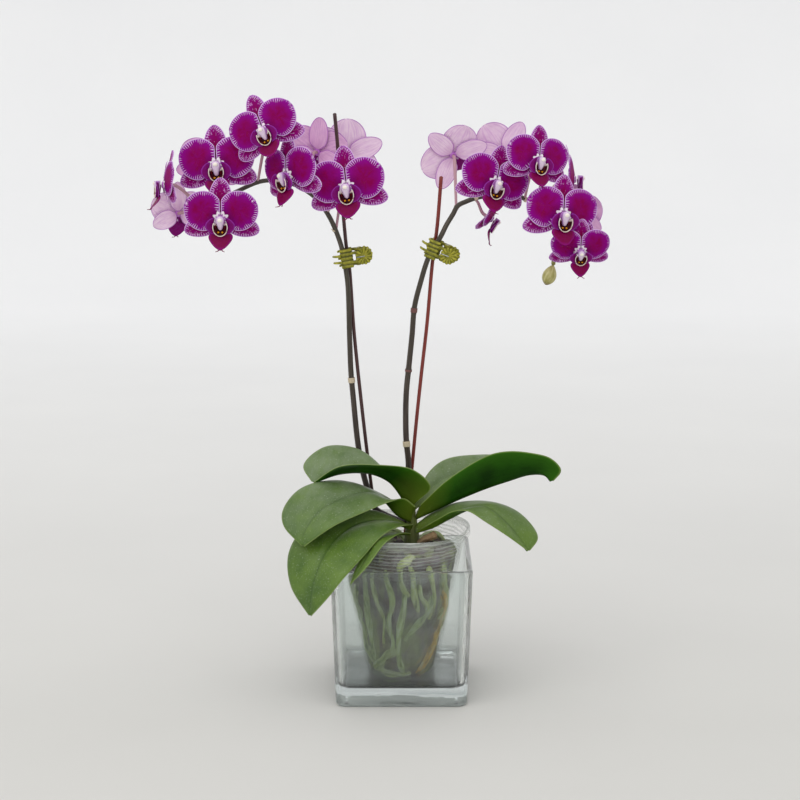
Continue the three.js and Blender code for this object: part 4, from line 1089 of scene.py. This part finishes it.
def add_prism(piece, outline, low, high):
    """A flat outline drawn in X and Y, from low to high, with its edges eased."""
    outline = np.array(outline, float)
    centre = outline.mean(axis=0)
    rings = []
    for z, ease in ((low, 0.88), (low + 0.3, 1), (high - 0.3, 1), (high, 0.88)):
        eased = centre + (outline - centre) * ease
        rings.append(rows(eased[:, 0], eased[:, 1], z))
    # The rim mark gives the arms and knuckles a little of the clip's painted shade
    add_loft(piece, rings, 0, [[(0, 0.4, 0)] * len(outline)] * 4)


def make_clip(name, at, tilt, turn):
    matrix = clip_matrix(at, tilt, turn)
    around = circle(24)
    for part, half in CLIP_HALVES.items():
        side = half["side"]
        piece = Piece()
        add_jaw_plate(piece, side)
        add_grip(piece, side)
        for end in (1, -1):
            low, high = sorted(z * end for z in half["knuckles"])
            add_prism(piece, [(x, side * y) for x, y in CLIP_ARM], low, high)
            add_prism(piece, KNUCKLE_RADIUS * rows(np.cos(around), np.sin(around)), low, high)
        for z in half["tines"]:
            tine = Curve([(x, side * y, z) for x, y in half["tine"]])
            add_tube(piece, tine.steps(14), np.linspace(1.15, 0.9, 14), sides=12)
        leg = Curve([(x, side * y, 0) for x, y in CLIP_LEG])
        add_tube(piece, leg.steps(20), SPRING["wire"], sides=10, finish=1)
        body = f"{name}_jaw" if part == "jaw" else PLANT
        node = [f"{name}_{part}"]
        piece.make(f"{name}_{part}_half", ["clip", "steel"], "clip_plastic", node, matrix, body, sharp=40)
    spring = Piece()
    pin_half = SPRING["pin_half"]
    add_tube(spring, [(0, 0, z) for z in np.linspace(-pin_half, pin_half, 12)], SPRING["pin"])
    share = np.linspace(0, 1, 140)
    turns = 2 * math.pi * SPRING["turns"] * share
    height = SPRING["half"] * (2 * share - 1)
    coil = rows(SPRING["radius"] * np.cos(turns), SPRING["radius"] * np.sin(turns), height)
    add_tube(spring, coil, SPRING["wire"], sides=8)
    spring.make(f"{name}_spring", ["steel"], "clip_spring_steel", [f"{name}_pin"], matrix)


for name, place in CLIPS.items():
    make_clip(name, *place)


# Vase

def vase_half(z):
    return VASE["base_half"] + (VASE["mouth_half"] - VASE["base_half"]) * z / VASE["height"]


def rounded_square(half, corner, z):
    """A square ring with round corners, with points near each corner so that the sides stay flat."""
    steps, beside = 8, 1.2
    ring = []
    for quarter in range(4):
        sign_x = 1 if quarter in (0, 3) else -1
        sign_y = 1 if quarter < 2 else -1
        angle = math.pi / 2 * (quarter + np.arange(steps + 1) / steps)
        x = sign_x * (half - corner) + corner * np.cos(angle)
        y = sign_y * (half - corner) + corner * np.sin(angle)
        arc = rows(x, y, z)
        before, after = angle[0], angle[-1]
        ring.append(arc[0] + beside * np.array([math.sin(before), -math.cos(before), 0]))
        ring.extend(arc)
        ring.append(arc[-1] + beside * np.array([-math.sin(after), math.cos(after), 0]))
    return ring


def make_vase():
    height, wall, floor, corner, edge = (VASE[k] for k in ("height", "wall", "floor", "corner", "edge"))
    inner = corner - wall * 0.6
    # From the underside, up the outside and down the inside: where the vase's width is taken, how far in
    # from it the ring lies, its corner radius, and its height
    rings = [
        (0, edge + 3, corner - edge, 0.25), (0, edge + 1, corner - edge / 2, 0),
        (0, edge * 0.7, corner - edge / 2, 0), (0, edge * 0.25, corner, edge * 0.35),
        (edge, 0, corner, edge), (edge + 1.5, 0, corner, edge + 1.5),
        (height - 4, 0, corner, height - 4), (height - 2.2, 0, corner, height - 2.2),
        (height, 0.5, corner - 0.5, height - 0.7), (height, 1.6, corner - 1.2, height),
        (height, wall - 1.6, inner + 1.2, height), (height, wall - 0.4, inner + 0.3, height - 0.8),
        (height - 2.5, wall, inner, height - 2.5), (height - 4.5, wall, inner, height - 4.5),
        (floor + 7, wall, inner, floor + 7), (floor + 4.5, wall + 0.3, inner, floor + 4.5),
        (floor + 2, wall + 1.3, inner - 0.4, floor + 2), (floor, wall + 3.2, inner - 1, floor + 0.4),
        (floor, wall + 5.5, inner - 1.5, floor), (floor, wall + 8, inner - 1.5, floor),
    ]
    piece = Piece()
    add_loft(piece, [rounded_square(vase_half(at) - inset, radius, z) for at, inset, radius, z in rings])
    piece.make("glass_vase", ["glass"], "vase_glass", ["vase"], sharp=50)


make_vase()


# Pot

def pot_radius(z):
    foot, shoulder = POT["foot"], POT["shoulder"]
    return POT["foot_radius"] + (POT["shoulder_radius"] - POT["foot_radius"]) * (z - foot) / (shoulder - foot)


def make_pot():
    foot, shoulder, top, flange, wall = (POT[k] for k in ("foot", "shoulder", "top", "flange_radius", "wall"))
    low, pitch, depth = (POT_RINGS[k] for k in ("low", "pitch", "depth"))
    outer = [
        (2, foot), (pot_radius(foot) - 3, foot), (pot_radius(foot) - 0.8, foot + 0.2),
        (pot_radius(foot + 2), foot + 1.6),
    ]
    outer += [(pot_radius(z), z) for z in np.linspace(foot + 4, low - 2, 20)]
    for z in np.arange(low, shoulder - 0.5, pitch / 6):
        outer.append((pot_radius(z) + depth * (0.5 - 0.5 * math.cos(2 * math.pi * (z - low) / pitch)), z))
    outer += [
        (pot_radius(shoulder) + 0.6, shoulder - 0.2), (flange - 1.6, shoulder + 0.3),
        (flange - 0.3, shoulder + 1.0), (flange, shoulder + 2.2), (flange, top - 1.6),
        (flange - 0.3, top - 0.5), (flange - 1.2, top),
    ]
    inner = [
        (flange - 2.2, top - 0.3), (flange - 2.6, top - 1.4), (flange - 2.9, shoulder + 2.6),
        (pot_radius(shoulder) - wall + 0.8, shoulder + 1.0),
    ]
    inner += [(pot_radius(z) - wall, z) for z in np.linspace(shoulder - 1, foot + 3, 40)]
    inner += [(pot_radius(foot) - wall - 1.4, foot + wall), (2, foot + wall)]
    around = circle(144)
    rings = []
    for r, z in outer + inner:
        # The mouth is soft: it sags and is a little out of round
        rise = max(0.0, (z - shoulder + 6) / 14)
        uneven = 0.22 * np.sin(around * 60) + 0.3 * np.sin(5 * around) - 0.3
        sag = 0.6 * np.sin(3 * around + 0.8) - 0.6
        reach = r + uneven * rise
        rings.append(rows(reach * np.cos(around), reach * np.sin(around), z + sag * rise))
    piece = Piece()
    add_loft(piece, rings)
    piece.make("nursery_pot", ["pot"], "pot_plastic", ["pot"], sharp=60)


make_pot()


# Medium, crown and roots

def dome_height(share):
    """The height of the medium's top at a share of its radius."""
    return MEDIUM["top"] + MEDIUM["dome"] * (1 - share ** 2)


def bark_chunk(random, centre):
    """One loose chunk: a rough seven-sided lump, turned and tipped."""
    size = random.uniform((2.4, 1.6, 1.0), (5.0, 3.2, 2.2))
    turn, tip = random.uniform(0, math.pi), random.uniform(-0.4, 0.4)
    around = circle(7)
    rings = []
    for level, grow in ((-1, 0.75), (-0.4, 1), (0.45, 0.95), (1, 0.65)):
        jitter = grow * random.uniform(0.75, 1.1, len(around))
        x, y, z = (size * rows(jitter * np.cos(around), jitter * np.sin(around), level)).T
        x, z = x * math.cos(tip) - z * math.sin(tip), x * math.sin(tip) + z * math.cos(tip)
        ring = rows(x * math.cos(turn) - y * math.sin(turn), x * math.sin(turn) + y * math.cos(turn), z)
        rings.append(ring + centre)
    return rings


def make_medium():
    """A body of chopped bark that fills the pot, lumpy at its sides, with loose chunks on its top."""
    around = circle(120)
    top_radius = pot_radius(MEDIUM["top"])
    heights = np.linspace(MEDIUM["bottom"], MEDIUM["top"], 70)
    levels = [(pot_radius(z) - POT["wall"] - 1.6, z) for z in heights]
    for share in np.linspace(0.93, 0.06, 14):
        levels.append(((top_radius - POT["wall"] - 0.6) * share, dome_height(share)))
    reach, height = (values[:, None] for values in np.array(levels).T)
    flat = rows(reach * np.cos(around), reach * np.sin(around), height)
    lump = waves(flat.reshape(-1, 3), 13, SEED).reshape(flat.shape[:2])
    lump = np.sign(lump) * np.abs(lump) ** 0.6
    reach = reach - 2.6 * (0.5 - 0.5 * lump) * (height < MEDIUM["top"] + 0.1)
    height = height + 1.4 * lump * (height > MEDIUM["top"])
    piece = Piece()
    add_loft(piece, rows(reach * np.cos(around), reach * np.sin(around), height))
    random = np.random.default_rng(SEED)
    for _ in range(90):
        angle, far = random.uniform(0, 2 * math.pi), 47 * math.sqrt(random.uniform(0.02, 1))
        x, y = far * math.cos(angle), far * math.sin(angle)
        if math.hypot(x - CROWN["x"], y - CROWN["y"]) >= 11:
            add_loft(piece, bark_chunk(random, (x, y, dome_height(far / (top_radius - 2)) + 0.6)))
    piece.make("bark_medium", ["bark"], "bark", ["potting_medium"], sharp=35)


def wall_root(side, radius, points):
    """A root's path just inside the pot's wall, with both ends sunk into the medium."""
    places = []
    for x, z in points:
        reach = pot_radius(z) - POT["wall"] - radius * 0.8 - 0.5
        places.append((x, side * math.sqrt(max(reach * reach - x * x, 1)), z))
    if places[0][2] > 112:
        x, y, _ = places[0]
        places.insert(0, (CROWN["x"] + 0.25 * x, CROWN["y"] + 0.2 * y, CROWN["low"] + 4))
    path = Curve(places).steps(ROOT_STEPS)
    reach = np.hypot(path[:, 0], path[:, 1])
    limit = pot_radius(path[:, 2]) - POT["wall"] - radius * 0.8 - 0.4
    path[:, :2] *= np.minimum(1, limit / np.maximum(reach, 1e-6))[:, None]
    lengths = lengths_along(path)
    wall_start = lengths[np.argmax(reach > 0.93 * limit)]
    sunk = np.exp(-((lengths - wall_start) / 6) ** 2) + 0.7 * np.exp(-((lengths - lengths[-1]) / 6) ** 2)
    path[:, :2] *= (1 - 0.075 * sunk)[:, None]
    return path


def make_roots():
    piece = Piece()
    along = np.linspace(0, 1, ROOT_STEPS)
    for k, (side, thin_radius, tone, points) in enumerate(ROOTS):
        radius = ROOT_WIDENING * thin_radius
        swell = 1 + 0.2 * np.sin(12 * along + k) - 0.3 * along ** 4
        add_tube(piece, wall_root(side, radius, points), radius * swell, sides=14, tone=tone, squeeze=0.85)
    around = circle(28)
    rings, rims, fans = [], [], []
    for share in np.linspace(0, 1, 24):
        z = CROWN["low"] + (CROWN["high"] - CROWN["low"]) * share
        scale = (1.05 - 0.78 * share ** 1.3) * (1 + 0.07 * abs(math.sin(share * 16)))
        x = CROWN["x"] + CROWN["radius_x"] * scale * np.cos(around)
        y = CROWN["y"] + CROWN["radius_y"] * scale * np.sin(around)
        rings.append(rows(x, y, z))
        rims.append(rows(around * 7, share * 47, 0))
        fans.append(rows(share, 0, around))
    add_loft(piece, rings, 1, rims, fans)
    for points, tone in AERIAL_ROOTS:
        radii = np.interp(np.linspace(0, 1, 20), np.linspace(0, 1, 4), (2.2, 2.4, 2.4, 1.8))
        add_tube(piece, Curve(points).steps(20), radii, sides=14, tone=tone)
    stump = Curve(STUMP).steps(24)
    add_tube(piece, stump, np.linspace(2.4, 3.4, 24), sides=24, finish=2, twist=dry_folds)
    piece.make("crown_with_roots", ["root", "crown", "stump"], "root", ["crown_and_roots"])


def dry_folds(angle, length):
    return 1 + 0.12 * np.sin(5 * angle) + 0.06 * np.sin(2.2 * length + angle)


make_medium()
make_roots()


# Floor and backdrop, one plain pale sweep, in metres

SWEEP = {"start": 2.2, "curve": 1.2, "reach": 7.0, "top": 4.5}


def make_sweep():
    """A plain matt sweep: a floor, then a wide curve up into the wall behind. Painted shade darkens the floor
    towards the front, so that the wall is a little paler.
    """
    start, curve, reach, top = SWEEP.values()
    profile = [(-reach, 0.0), (start, 0.0)]
    for angle in np.linspace(0.1, math.pi / 2, 16):
        profile.append((start + curve * math.sin(angle), curve - curve * math.cos(angle)))
    profile.append((start + curve, top))
    points = [(x, y, z) for y, z in profile for x in (-reach, reach)]
    faces = [(2 * k, 2 * k + 1, 2 * k + 3, 2 * k + 2) for k in range(len(profile) - 1)]
    mesh = bpy.data.meshes.new("sweep")
    mesh.from_pydata(points, [], faces)
    mesh.polygons.foreach_set("use_smooth", [True] * len(faces))
    wall = Look("matt_cotton_sweep", "#F7F7F8", Roughness=0.95, Specular_IOR_Level=0.1)
    cloud = wall.patches(wall.place(), (3, 3, 3), 3)
    wall.lay("#FDFDFD", cloud)
    # Painted shade: the floor takes a darker colour than the wall, most towards the front
    floor = wall.add("Mix", cloud, A_Color="#D3D2CE", B_Color="#DCDBD7", data_type="RGBA")[2]
    wall.lay(floor, wall.add("Math", wall.place("Y"), wall.place("Z"), operation="ADD")[0], 2.2, -0.1)
    mesh.materials.append(wall.finish())
    sweep = bpy.data.objects.new("sweep", mesh)
    bpy.context.scene.collection.objects.link(sweep)


make_sweep()


# Light: a bright even room, with one large soft window high on the left of the camera

WINDOW = {"power": 12, "width": 2.4, "height": 1.8, "at": (-0.8, -1.4, 2.1), "aim": (0, 0, 0.3)}
CAMERA = {"lens": 83.25, "sensor": 36, "at": (-0.0013, -1.546, 0.561), "down": 11.2}


def make_light():
    world = bpy.data.worlds.new("pale_room")
    world.use_nodes = True
    background = world.node_tree.nodes["Background"]
    height = add_node(world, "SeparateXYZ", add_node(world, "TexCoord")["Generated"])["Z"]
    share = add_node(world, "MapRange", height, -0.1, 0.7)[0]
    room = add_node(world, "Mix", share, A_Color="#E2E4E5", B_Color="#FFFFFF", data_type="RGBA")[2]
    fill(world, background.inputs["Color"], room)
    fill(world, background.inputs["Strength"], 0.93)
    bpy.context.scene.world = world
    window = bpy.data.lights.new("soft_window", "AREA")
    window.energy = WINDOW["power"]
    window.shape = "RECTANGLE"
    window.size = WINDOW["width"]
    window.size_y = WINDOW["height"]
    window.color = (1.0, 0.99, 0.97)
    lamp = bpy.data.objects.new("soft_window", window)
    lamp.location = WINDOW["at"]
    lamp.rotation_euler = (Vector(WINDOW["aim"]) - lamp.location).to_track_quat("-Z", "Y").to_euler()
    bpy.context.scene.collection.objects.link(lamp)
    bpy.context.scene.view_settings.view_transform = "Standard"


def make_camera():
    camera = bpy.data.cameras.new("camera")
    camera.lens = CAMERA["lens"]
    camera.sensor_width = CAMERA["sensor"]
    eye = bpy.data.objects.new("camera", camera)
    eye.location = CAMERA["at"]
    eye.rotation_euler = (math.radians(90 - CAMERA["down"]), 0, 0)
    bpy.context.scene.collection.objects.link(eye)
    bpy.context.scene.camera = eye


make_light()
make_camera()
